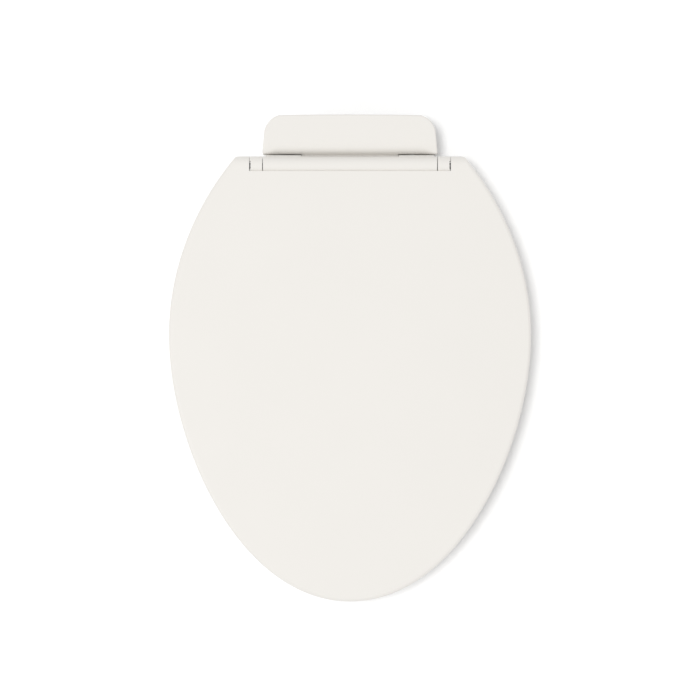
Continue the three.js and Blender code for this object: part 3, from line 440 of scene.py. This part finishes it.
def knuckle_arm(side):
    """One rear arm of the seat with its hinge knuckle."""
    low = SEAT_SPLIT + 0.4
    profile = [(HINGE_Y + 2, HINGE_Z - 8.5), (HINGE_Y - 6.5, HINGE_Z + 5.5)]
    profile += ARM_NECK + ARM_SLOPE + [(-74, low), (-46, low), (-40, 24)]
    span = (BAY_X + 0.4, KNUCKLE[1])
    arm = swept("arm", profile, [x * side for x in span])
    knuckle = lathe("knuckle", [(HINGE_R, x * side) for x in KNUCKLE],
                    (0, HINGE_Y, HINGE_Z), "x", sides=96)
    rim = lathe("rim", [(HINGE_R - 0.2, x * side) for x in (KNUCKLE[1] - 0.5, EAR_X - 0.35)],
                (0, HINGE_Y, HINGE_Z), "x", sides=96)
    ahead = sorted(x * side for x in (80.0, 120.0))
    combine(rim, block("ahead", ahead, (HINGE_Y - 20, HINGE_Y + 4.3), (20, 60)))
    root = ARM_ROOT + ARM_SLOPE + [(-74, low), (-46.5, low)]
    strip = swept("strip", root, sorted(x * side for x in (BAY_X, BAY_X + 1.0)))
    combine(arm, knuckle, rim, gusset(side, low), strip, how="UNION")
    ends = [(SEAT_BORE_R, x * side) for x in (80.0, 105.0)]
    bore = lathe("bore", ends, (0, HINGE_Y, HINGE_Z), "x")
    return combine(arm, bore)


def build_seat():
    """The seat's two shells, with a fine gap where they meet."""
    gap = 0.3
    top = seat_shell("seat_ring_top")
    combine(top, block("upper", (-250, 250), (-520, 80), (SEAT_SPLIT, 60)), how="INTERSECT")
    combine(top, knuckle_arm(1), knuckle_arm(-1), how="UNION")
    bottom = seat_shell("seat_ring_base")
    combine(bottom, block("lower", (-250, 250), (-520, 80), (0, SEAT_SPLIT - gap)),
            how="INTERSECT")
    soften(tidy(top), 0.7)
    soften(tidy(bottom), 0.5)
    return top, bottom


# ---- Chassis covers -------------------------------------------------------------------------


def cover(name, plan, edge, height, z0, wall):
    """An open-bottomed cover. plan is the outline, edge(x, y) the round along its top, and
    height(y) the height of its top."""
    n = len(plan)
    normals = []
    for i in range(n):
        ax, ay = plan[i - 1]
        bx, by = plan[(i + 1) % n]
        length = math.hypot(bx - ax, by - ay)
        normals.append(((by - ay) / length, (ax - bx) / length))
    middle_y = sum(y for _, y in plan) / n
    reach = max(x for x, _ in plan) * 0.75

    def ring(d, c, s, drop):
        loop = []
        for (x, y), (nx, ny) in zip(plan, normals):
            r = max(edge(x, y) - d, 0.4)
            px, py = x + nx * (d + r * c), y + ny * (d + r * c)
            loop.append((px, py, height(py) - drop - r * (1 - s)))
        return loop

    def towards_middle(loop, share, drop):
        out = []
        for x, y, _ in loop:
            mx = max(-reach, min(reach, x))
            py = y + (middle_y - y) * share
            out.append((x + (mx - x) * share, py, height(py) - drop))
        return out

    def shell(d, drop):
        rows = [[(x + nx * d, y + ny * d, z0) for (x, y), (nx, ny) in zip(plan, normals)]]
        rows += [ring(d, c, s, drop) for c, s in quarter(6)]
        rows += [towards_middle(rows[-1], share, drop) for share in (0.3, 0.6, 0.97)]
        return rows

    inner = shell(wall, wall)
    outer = shell(0.0, 0.0)
    return loft(name, list(reversed(inner)) + outer)


def arc(cx, cy, r, start, end, steps):
    """Points on an arc from one angle to another, in degrees."""
    angles = [math.radians(start + (end - start) * i / steps) for i in range(steps + 1)]
    return [(cx + r * math.cos(a), cy + r * math.sin(a)) for a in angles]


def line(a, b, steps):
    """Points from a up to but not including b."""
    return [(a[0] + (b[0] - a[0]) * i / steps, a[1] + (b[1] - a[1]) * i / steps)
            for i in range(steps)]


def middle(node):
    """The middle of a CAD node's box, in millimetres."""
    low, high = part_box(node)
    return [(a + b) / 2 / MM for a, b in zip(low, high)]


def build_rear_cover():
    """The housing behind the barrel, with a round brow over the bridge to it."""
    front, rear, wide = HOUSING["front"], BODY_REAR, HOUSING["half_width"]
    narrow, r = wide - HOUSING["taper"], HOUSING["corner"]
    nose = 1.6  # the front corners' round in plan
    bow = 0.5 / 60**2  # the rear edge is a very flat curve
    least, more_at_sides, more_at_front = 1.5, 0.3, 5.7  # the round along the top
    side_run, front_run = 6, 14  # how far from the front corners it takes to grow

    def bowed(points):
        return [(x, y - bow * x * x if y > rear - 0.2 else y) for x, y in points]

    right = line((0, rear), (narrow - r, rear), 12)
    right += arc(narrow - r, rear - r, r, 90, 0, 12)
    right += line((narrow, rear - r), (wide, front + nose), 10)[1:]
    right += arc(wide - nose, front + nose, nose, 0, -90, 4)
    right += line((wide - nose, front), (0, front), 28)[1:]
    left = [(-x, y) for x, y in reversed(right[1:])]
    plan = bowed(right + [(0, front)] + left)

    def edge(x, y):
        if y > front + 0.01:
            return least + more_at_sides * max(0.0, min(1.0, (y - front - nose) / side_run))
        away = max(0.0, min(1.0, (wide - nose - abs(x)) / front_run))
        return least + more_at_front * away * away * (3 - 2 * away)

    def height(y):
        return HOUSING["top"] - 0.012 * max(0.0, -2 - y) ** 2

    shell = cover("housing_cover", plan, edge, height, BODY_SPLIT + 0.3, COVER_WALL)
    foot = NECK[1] + 0.2
    brow = [(front + 1.5, foot), (front + 1.5, foot + 4.5), (front + 0.4, foot + 2.8),
            (front - 0.5, foot + 1.0), (front - 1.0, foot)]
    combine(shell, swept("brow", brow, (-48.6, 48.6)), how="UNION")
    wall = (front - 2, front + COVER_WALL + 0.5)
    combine(shell, block("neck_gap", (-48.9, 48.9), wall, (0, foot)))
    combine(shell, block("hose_gap", (58, 68), wall, (0, 28)))
    for button in BUTTONS:
        _, y, z = middle(button)
        combine(shell, lathe("hole", [(4.8, -95), (4.8, -78)], (0, y, z), "x"))
    for socket, radius in (("water_inlet", 7.4), ("power_inlet", 6.4)):
        x, _, z = middle(socket)
        combine(shell, lathe("hole", [(radius, 10), (radius, 30)], (x, 0, z), "y"))
    return soften(tidy(shell), 0.35)


def deck_section(d, foot):
    """The deck cover's outline in Y and Z, moved in by d. Its front edge is a large round."""
    rear, top = DECK["rear"] - d, DECK["top"] - d
    r = DECK["round"] - d
    points = [(rear, foot), (rear, top - 1.2), (rear - 0.35, top - 0.35), (rear - 1.2, top)]
    for i in range(13):
        a = math.pi / 2 * i / 12
        y = BODY_FRONT + d + r - r * math.sin(a)
        points.append((y, top - DECK["drop"] - r + r * math.cos(a)))
    return points + [(BODY_FRONT + d, foot)]


def build_front_cover():
    """The deck between the seat's arms, open below and at the wand."""
    wide, side, foot = DECK["half_width"], DECK["side"], BODY_SPLIT + 0.3
    ends = [(wide - side + side * s, side * c) for c, s in quarter(6)]
    sections = [(-x, d) for x, d in reversed(ends)] + ends
    loops = [[(x, y, z) for y, z in deck_section(d, foot)] for x, d in sections]
    shell = loft("deck_cover", loops)
    inner = wide - COVER_WALL
    hollow = swept("hollow", deck_section(COVER_WALL, foot - 2), (-inner, inner))
    gap = block("rear_gap", (-78, 78), (-46, -42), (0, 30))
    hole = block("wand_gap", (-8, 12), (-84, -78), (0, 16))
    combine(shell, hollow, gap, hole)
    return soften(tidy(shell), 0.35)


def build_hinge_beam():
    """The barrel with both damper bores, on its saddle, with its bridge to the housing."""
    at = (0, HINGE_Y, HINGE_Z)
    ends = [(HINGE_R - 0.5, 0.0), (HINGE_R - 0.15, 0.15), (HINGE_R, 0.5)]
    left = [(r, -BARREL_X + s) for r, s in ends]
    right = [(r, BARREL_X - s) for r, s in reversed(ends)]
    barrel = lathe("hinge_barrel", left + right, at, "x", sides=128)
    rear, ahead = HINGE_Y + 8.6, HINGE_Y - 9.2
    bottom, lip_x, leg_x = 29, 49, 70
    parts = [block("saddle", (-SADDLE_X, SADDLE_X), (ahead, rear), (bottom, HINGE_Z - 5))]
    parts.append(block("neck", (-NECK_X, NECK_X), (HINGE_Y + 4, -17.6), NECK))
    lip = [(HINGE_Y, 39.6), (-21.9, 39.6), (-21.2, 36.0), (-20.9, NECK[0]), (HINGE_Y, NECK[0])]
    parts.append(swept("crease_lip", lip, (-NECK_X, NECK_X)))
    for x in ((-SADDLE_X, -lip_x), (lip_x, SADDLE_X)):
        parts.append(block("lip", x, (HINGE_Y, LIP_REAR), (bottom, LIP_TOP)))
    for x in ((-SADDLE_X, -leg_x), (leg_x, SADDLE_X)):
        parts.append(block("leg", x, (ahead, rear), (BODY_SPLIT + 0.3, bottom + 1)))
    combine(barrel, *parts, how="UNION")
    for x in ((-BARREL_X - 1, -30.0), (30.0, BARREL_X + 1)):
        combine(barrel, lathe("bore", [(DAMPER_BORE_R, end) for end in x], at, "x", sides=96))
    return soften(tidy(barrel), 0.35)


# ---- Small pieces ---------------------------------------------------------------------------


def pad(name, low, high, peg, foot_r, body_r, centre):
    """A rubber foot from low to high with a dished face at low and a peg up to peg."""
    x, y = centre
    height = high - low
    profile = [(foot_r * 0.55, low + 0.5), (foot_r * 0.75, low + 0.25), (foot_r * 0.9, low)]
    profile += [(foot_r + 0.9 * s, low + 0.9 * c) for c, s in quarter(4)]
    profile += [(foot_r + 1.2, low + height * 0.3), (body_r - 0.4, high - 0.5), (body_r, high - 0.3)]
    profile += [(body_r - 0.3, high)]
    if peg > high:
        profile += [(3.0, high), (3.0, peg - 0.6), (2.4, peg)]
    return lathe(name, profile, (x, y, 0), sides=64)


def build_pads():
    """The seat's four feet, whose pegs go up into it, and the lid's four pads."""
    made = []
    for corner, x, y in (
        ("front_left", -96, -405),
        ("front_right", 96, -405),
        ("rear_left", -138, -168),
        ("rear_right", 138, -168),
    ):
        foot = pad(f"seat_foot_{corner}", 0, 9.7, 15, 8.6, 11.4, (x, y))
        made.append((foot, f"seat_bumper_{corner}", "seat"))
    for corner, x, y in (
        ("front_left", -80, -408),
        ("front_right", 80, -408),
        ("rear_left", -142, -150),
        ("rear_right", 142, -150),
    ):
        foot = pad(f"lid_foot_{corner}", 33.3, 46.8, 0, 5.4, 8.4, (x, y))
        made.append((foot, f"lid_bumper_{corner}", "lid"))
    for foot, node, body in made:
        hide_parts(node)
        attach(foot, body)
        soften(foot, 0.15, 1, 60)
    return [foot for foot, _, _ in made]


def thread(name, centre, r, low, high, pitch, depth):
    """A screw thread as one closed surface whose ridge climbs as it turns."""
    sides, per_turn = 40, 6
    run_out = 1.2
    count = round((high - low) / pitch * per_turn)
    loops = []
    for k in range(count + 1):
        z = low + (high - low) * k / count
        fade = min(1.0, (z - low) / run_out, (high - z) / run_out)
        loop = []
        for i in range(sides):
            phase = ((z - low) / pitch - i / sides) % 1.0
            ridge = 1 - 2 * abs(phase - 0.5)
            rr = r - depth + depth * ridge * fade
            a = 2 * math.pi * i / sides
            loop.append((centre[0] + rr * math.cos(a), centre[1] + rr * math.sin(a), z))
        loops.append(loop)
    return loft(name, loops)


def build_bolts():
    """The fixing bolts, with a thread and a six-sided head."""
    made = []
    for side, x in BOLT_SIDES:
        shank = thread(f"bolt_thread_{side}", (x, 0), 3.9, -60.5, -9.5, 1.25, 0.65)
        neck = lathe("neck", [(3.7, -9.9), (3.9, -9.4), (3.9, 6.9)], (x, 0, 0))
        tip = lathe("tip", [(2.7, -61.5), (3.2, -60.9), (3.2, -60.2)], (x, 0, 0))
        head = [(7.2, 6.7), (7.6, 7.0), (7.6, 8.5), (6.9, 8.9)]
        combine(shank, neck, tip, lathe("head", head, (x, 0, 0), sides=6), how="UNION")
        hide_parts(f"fixing_bolt_{side}")
        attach(shank, "mount")
        made.append(soften(tidy(shank, 0.002), 0.12, 1, 50))
    return made


def wing_nut(name, x):
    """A moulded nut with two rounded wings."""
    turned = [(4.3, -43.0), (6.6, -43.0), (7.3, -42.3), (7.5, -32.8), (9.8, -32.0)]
    turned += [(10.4, -31.5), (10.4, -29.9), (9.9, -29.4), (4.3, -29.4)]
    nut = lathe(name, turned, (x, 0, 0), sides=72, ring=True)
    round_x, round_z, round_r, half_thick = 13.0, -37.2, 4.0, 1.9
    turns = [math.pi * i / 10 for i in range(11)]
    end = [(round_x + round_r * math.sin(a), round_z + round_r * math.cos(a)) for a in turns]
    wing = [(6.0, -33.6)] + end + [(9.5, -42.2), (6.0, -42.9)]
    for way in (1, -1):
        outline_xz = [(x + px * way, pz) for px, pz in wing]
        combine(nut, plate("wing", outline_xz, (-half_thick, half_thick)), how="UNION")
    return soften(tidy(nut), 0.4, 3)


def cone_bush(name, x):
    """The ribbed rubber cone that a wing nut pushes up."""
    turned = [(4.3, -28.9), (9.2, -28.9), (9.5, -28.5), (9.5, -25.6), (9.1, -25.1)]
    turned += [(8.1, -24.7), (7.6, -20.2), (7.1, -19.7), (7.4, -19.2), (7.0, -14.9)]
    turned += [(6.5, -14.4), (6.8, -13.9), (6.2, -9.6), (5.7, -9.1), (4.3, -9.1)]
    return soften(lathe(name, turned, (x, 0, 0), sides=72, ring=True), 0.15, 1, 60)


def build_wing_nuts():
    """What holds each bolt from below the bowl."""
    made = []
    for side, x in BOLT_SIDES:
        nut = wing_nut(f"wing_nut_moulded_{side}", x)
        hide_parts(f"wing_nut_{side}")
        made.append((nut, "mount", "grey_plastic"))
        cone = cone_bush(f"cone_moulded_{side}", x)
        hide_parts(f"cone_bush_{side}")
        made.append((cone, "mount", "dark_rubber"))
    return made


def build_screws():
    """Pan-headed case screws with a cross recess, seen from below."""
    made = []
    for i in range(1, 5):
        x, y, _ = middle(f"case_screw_{i}")
        shank = thread(f"screw_thread_{i}", (x, y), 1.55, 3.4, 21.9, 1.4, 0.5)
        head = [(1.7, 1.3), (2.5, 1.45), (2.9, 1.8), (3.0, 2.3), (3.0, 3.2), (1.2, 3.2), (1.2, 4.6)]
        combine(shank, lathe("head", head, (x, y, 0), sides=48), how="UNION")
        for wide, deep in ((0.45, 1.7), (1.7, 0.45)):
            cross = block("cross", (x - wide, x + wide), (y - deep, y + deep), (1.0, 2.3))
            combine(shank, cross)
        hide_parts(f"case_screw_{i}")
        made.append((soften(tidy(shank, 0.002), 0.08, 1, 50), "chassis", "steel"))
    return made


def build_buttons():
    """Round push buttons with a dished face. One has a ring on it and the other a square."""
    made = []
    for name in BUTTONS:
        low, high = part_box(name)
        _, y, z = middle(name)
        face, end = low.x / MM, high.x / MM
        turned = [(0.3, 0.6), (1.2, 0.56)]
        if name == "power_button":
            turned += [(1.35, 0.2), (1.75, 0.2), (1.9, 0.52)]
        turned += [(3.0, 0.4), (3.8, 0.08), (4.1, 0.04), (4.35, 0.3), (4.4, 0.7)]
        turned = [(r, face + s) for r, s in turned]
        turned += [(4.4, -81.2), (5.6, -81.2), (5.6, -79.8), (2.2, -79.8), (2.2, end)]
        button = lathe(f"{name}_cap", turned, (0, y, z), "x", sides=72)
        if name == "stop_button":
            mark = block("mark", (face + 0.2, face + 1.0), (y - 1.2, y + 1.2), (z - 1.2, z + 1.2))
            combine(button, mark, how="UNION")
        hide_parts(name)
        made.append((soften(tidy(button), 0.1, 2, 50), name, "grey_plastic"))
    return made


def build_water_inlet():
    """The brass inlet with a chamfered mouth and a thread inside it."""
    x, _, z = middle("water_inlet")
    low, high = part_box("water_inlet")
    near, mouth = low.y / MM, high.y / MM
    outside = [(4.6, near), (6.8, near), (7.0, near + 0.3), (7.0, mouth - 0.6), (6.5, mouth)]
    inside = [(5.5, mouth), (4.75, mouth - 0.8)]
    turns, pitch = 6, 1.3
    for i in range(turns):
        y = mouth - pitch - i * pitch
        inside += [(4.7, y), (5.15, y - 0.35), (5.15, y - 0.5), (4.7, y - 0.85)]
    inlet = lathe("water_inlet_brass", outside + inside, (x, 0, z), "y", sides=72, ring=True)
    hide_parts("water_inlet")
    return [(soften(inlet, 0.1, 1, 60), "chassis", "brass")]


def build_nozzle_tip():
    """The wand's tip with a round nose and two jets in a flat on its top."""
    nose = [(0.6, -16.0), (2.0, -15.8), (3.4, -15.2), (4.6, -14.2), (5.4, -13.0), (5.85, -11.7)]
    body = [(6.0, -10.4), (6.0, -2.7), (5.7, -2.35), (3.3, -2.35), (3.3, 3.6)]
    tip = lathe("nozzle_tip_fine", nose + body, (0, 0, 0), "y", sides=72)
    combine(tip, block("flat", (-4, 4), (-12, -4), (5, 8)))
    for y in (-10.0, -7.0):
        combine(tip, lathe("jet", [(0.7, 0.0), (0.7, 4.6), (1.15, 5.1)], (0, y, 0), sides=24))
    tilt = Matrix.Rotation(math.radians(WAND["tilt"]), 4, "X")
    tip.data.transform(Matrix.Translation((0, WAND["y"] * MM, WAND["z"] * MM)) @ tilt)
    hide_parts("nozzle_tip")
    return [(soften(tidy(tip), 0.2, 2, 50), "wand", "grey_plastic")]


def build_guard():
    """The arch in front of the wand, with round corners and a hub and pin at each end."""
    x, low, high, r = 31.4, -5.2, 12.8, 1.5
    mouth, arch, bend = 13.2, 10.2, 4.0  # the opening's half width, its top and its round
    hinge_y, hinge_z = GUARD["y"], GUARD["z"]
    right = [(mouth, low), (x - r, low)]
    right += [(x - r + r * s, low + r * c) for c, s in quarter(5)]
    right += arc(x - r, high - r, r, 0, 90, 5)
    inside = [(mouth - bend * c, arch - bend + bend * s) for c, s in quarter(6)]
    half = right + [(0.0, high)]
    outline_xz = half + [(-px, pz) for px, pz in reversed(right)]
    outline_xz += [(-px, pz) for px, pz in inside] + [(px, pz) for px, pz in reversed(inside)]
    guard = plate("guard_arch", outline_xz, (hinge_y - 3.0, hinge_y - 1.0))
    for side in (1, -1):
        hub_ends = [(2.9, 28.4 * side), (2.9, 31.3 * side)]
        pin_ends = [(1.5, 30.4 * side), (1.5, 33.8 * side)]
        hub = lathe("hub", hub_ends, (0, hinge_y, hinge_z), "x", 48)
        pin = lathe("pin", pin_ends, (0, hinge_y, hinge_z), "x", 32)
        combine(guard, hub, pin, how="UNION")
    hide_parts("nozzle_guard")
    return [(soften(tidy(guard), 0.3), "guard", "white_shell")]


# ---- Materials ------------------------------------------------------------------------------


def material(name, colour, roughness, metallic=0.0, grain=900.0, depth=0.00002, mottle=0.02,
             spread=0.05, stretch=(1.0, 1.0, 1.0), specular=0.5):
    """A finish with fine grain in its surface and slow changes in its colour and gloss."""
    made = bpy.data.materials.new(name)
    made.use_nodes = True
    nodes, links = made.node_tree.nodes, made.node_tree.links
    shader = nodes["Principled BSDF"]
    shader.inputs["Metallic"].default_value = metallic
    shader.inputs["Specular IOR Level"].default_value = specular
    place = nodes.new("ShaderNodeTexCoord")
    scaled = nodes.new("ShaderNodeMapping")
    scaled.inputs["Scale"].default_value = stretch
    links.new(place.outputs["Object"], scaled.inputs["Vector"])

    def noise(scale, detail):
        node = nodes.new("ShaderNodeTexNoise")
        node.inputs["Scale"].default_value = scale
        node.inputs["Detail"].default_value = detail
        links.new(scaled.outputs["Vector"], node.inputs["Vector"])
        return node.outputs["Fac"]

    def spread_over(value, low, high):
        node = nodes.new("ShaderNodeMapRange")
        node.inputs["From Min"].default_value = 0.3
        node.inputs["From Max"].default_value = 0.7
        node.inputs["To Min"].default_value = low
        node.inputs["To Max"].default_value = high
        links.new(value, node.inputs["Value"])
        return node.outputs["Result"]

    slow = noise(14.0, 3.0)
    mix = nodes.new("ShaderNodeMix")
    mix.data_type = "RGBA"
    share, darker, lighter, mixed = 0, 6, 7, 2  # the Mix node's sockets for colours
    mix.inputs[darker].default_value = (*[c * (1 - mottle) for c in colour], 1)
    mix.inputs[lighter].default_value = (*[min(1.0, c * (1 + mottle)) for c in colour], 1)
    links.new(spread_over(slow, 0.0, 1.0), mix.inputs[share])
    links.new(mix.outputs[mixed], shader.inputs["Base Color"])
    gloss = noise(60.0, 4.0)
    links.new(spread_over(gloss, roughness - spread, roughness + spread), shader.inputs["Roughness"])
    bump = nodes.new("ShaderNodeBump")
    bump.inputs["Strength"].default_value = 0.5
    bump.inputs["Distance"].default_value = depth
    links.new(noise(grain, 2.0), bump.inputs["Height"])
    links.new(bump.outputs["Normal"], shader.inputs["Normal"])
    return made


def make_materials():
    """One finish for each of the record's material slots."""
    return {
        "white_shell": material("white_shell", (0.779, 0.758, 0.722), 0.34, mottle=0.004,
                                grain=1400.0, depth=0.000008, spread=0.03),
        "inner_white": material("inner_white", (0.78, 0.76, 0.72), 0.45, mottle=0.012),
        "grey_plastic": material("grey_plastic", (0.3, 0.305, 0.31), 0.5, mottle=0.03),
        "black_plastic": material("black_plastic", (0.022, 0.022, 0.024), 0.42, mottle=0.1),
        "steel": material("steel", (0.55, 0.56, 0.57), 0.28, metallic=1.0, mottle=0.05,
                          stretch=(1.0, 1.0, 9.0), grain=500.0),
        "brass": material("brass", (0.6, 0.43, 0.16), 0.3, metallic=1.0, mottle=0.06,
                          stretch=(1.0, 8.0, 1.0), grain=500.0),
        "copper_winding": material("copper_winding", (0.5, 0.17, 0.06), 0.35, mottle=0.15,
                                   stretch=(0.3, 0.3, 6.0), grain=600.0, depth=0.0002),
        "dark_rubber": material("dark_rubber", (0.03, 0.03, 0.031), 0.7, mottle=0.15,
                                grain=700.0, depth=0.00005),
        "pale_rubber": material("pale_rubber", (0.55, 0.54, 0.51), 0.62, mottle=0.03,
                                grain=700.0, depth=0.00004),
        "heater_foil": material("heater_foil", (0.62, 0.63, 0.64), 0.3, metallic=1.0,
                                mottle=0.05, grain=220.0, depth=0.0002),
        "circuit_board": material("circuit_board", (0.015, 0.11, 0.05), 0.4, mottle=0.25,
                                  grain=420.0, depth=0.0001),
        "clear_hose": material("clear_hose", (0.7, 0.72, 0.68), 0.35, mottle=0.02),
    }


def finish_cad_nodes(materials, record):
    """Gives each CAD node that shows its material, round edges and smooth shading."""
    slots = {part["node"]: part["material_slot"] for part in record["subparts"]}
    usual_edge, weld_distance = 0.35, 2e-6
    fine_edges = {"wand_pinion": 0.12, "wand_tube": 0.15, "control_board": 0.15}
    for name, node in frame["nodes"].items():
        node.data.materials.clear()
        node.data.materials.append(materials[slots[name]])
        if node.hide_render:
            continue
        weld = node.modifiers.new("weld", "WELD")
        weld.merge_threshold = weld_distance
        soften(node, fine_edges.get(name, usual_edge), 2, 40)


def paint(obj, materials, slot):
    """Gives a piece the finish of a slot."""
    obj.data.materials.clear()
    obj.data.materials.append(materials[slot])


# ---- Stage, light and camera ----------------------------------------------------------------


def build_stage():
    """A plain white floor just below the lowest piece, and even light all round."""
    low = cad_bounds[0].z / MM - 1.0
    size = 6000.0
    floor = make("floor", [(-size, -size, low), (size, -size, low), (size, size, low),
                           (-size, size, low)], [(0, 1, 2, 3)])
    made = material("floor_paint", (0.985, 0.985, 0.985), 0.9, mottle=0.002, grain=40.0,
                    depth=0.00001, specular=0.0)
    shader = made.node_tree.nodes["Principled BSDF"]
    shader.inputs["Emission Color"].default_value = (1, 1, 1, 1)
    shader.inputs["Emission Strength"].default_value = 0.05
    floor.data.materials.append(made)
    world = bpy.data.worlds.new("studio")
    world.use_nodes = True
    background = world.node_tree.nodes["Background"]
    background.inputs["Color"].default_value = (1.0, 0.998, 0.995, 1)
    background.inputs["Strength"].default_value = 0.6
    bpy.context.scene.world = world
    bpy.context.scene.view_settings.view_transform = "Standard"


def area_light(name, place, target, size, power):
    """A round lamp at a place, in metres, that faces a target."""
    light = bpy.data.lights.new(name, "AREA")
    light.shape = "DISK"
    light.size = size
    light.energy = power
    obj = bpy.data.objects.new(name, light)
    obj.location = place
    obj.rotation_euler = (Vector(target) - Vector(place)).to_track_quat("-Z", "Y").to_euler()
    bpy.context.scene.collection.objects.link(obj)
    return obj


def build_lights():
    """A lamp high above that gives the shape its shade, and a broad softbox for its gloss."""
    centre = (0.0, -0.22, 0.0)
    height, aside, behind = 5.0, 0.39, 0.09
    key = area_light("key", (-aside, centre[1] + behind, height), centre, 0.61, 120.0)
    key.visible_glossy = False
    area_light("softbox", (-1.3, -0.9, 1.5), centre, 1.1, 4.0)


def build_camera():
    """A camera straight above, which takes in 0.7 m across at the lid's top."""
    plane = LID_TOP * MM
    distance, across, middle_y, sensor = 3.0, 0.7, -0.216, 36.0
    data = bpy.data.cameras.new("camera")
    data.sensor_width = sensor
    data.lens = sensor * distance / across
    camera = bpy.data.objects.new("camera", data)
    camera.location = (0.0, middle_y, plane + distance)
    bpy.context.scene.collection.objects.link(camera)
    bpy.context.scene.camera = camera


# ---- Everything together --------------------------------------------------------------------


def main():
    """Makes every piece, has it ride on its body and gives it its finish."""
    materials = make_materials()
    lid = build_lid()
    top, bottom = build_seat()
    rear = build_rear_cover()
    front = build_front_cover()
    barrel = build_hinge_beam()
    for obj, node, body in (
        (lid, "lid", "lid"),
        (top, "seat_top", "seat"),
        (bottom, "seat_bottom", "seat"),
        (rear, "rear_cover", "chassis"),
        (front, "front_cover", "chassis"),
        (barrel, "hinge_beam", "chassis"),
    ):
        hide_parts(node)
        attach(obj, body)
        paint(obj, materials, "white_shell")
    for obj in build_pads():
        paint(obj, materials, "pale_rubber")
    for obj in build_bolts():
        paint(obj, materials, "steel")
    small = build_wing_nuts() + build_screws() + build_buttons() + build_water_inlet()
    for obj, body, slot in small + build_nozzle_tip() + build_guard():
        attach(obj, body)
        paint(obj, materials, slot)
    finish_cad_nodes(materials, frame["record"])
    build_stage()
    build_lights()
    build_camera()


main()
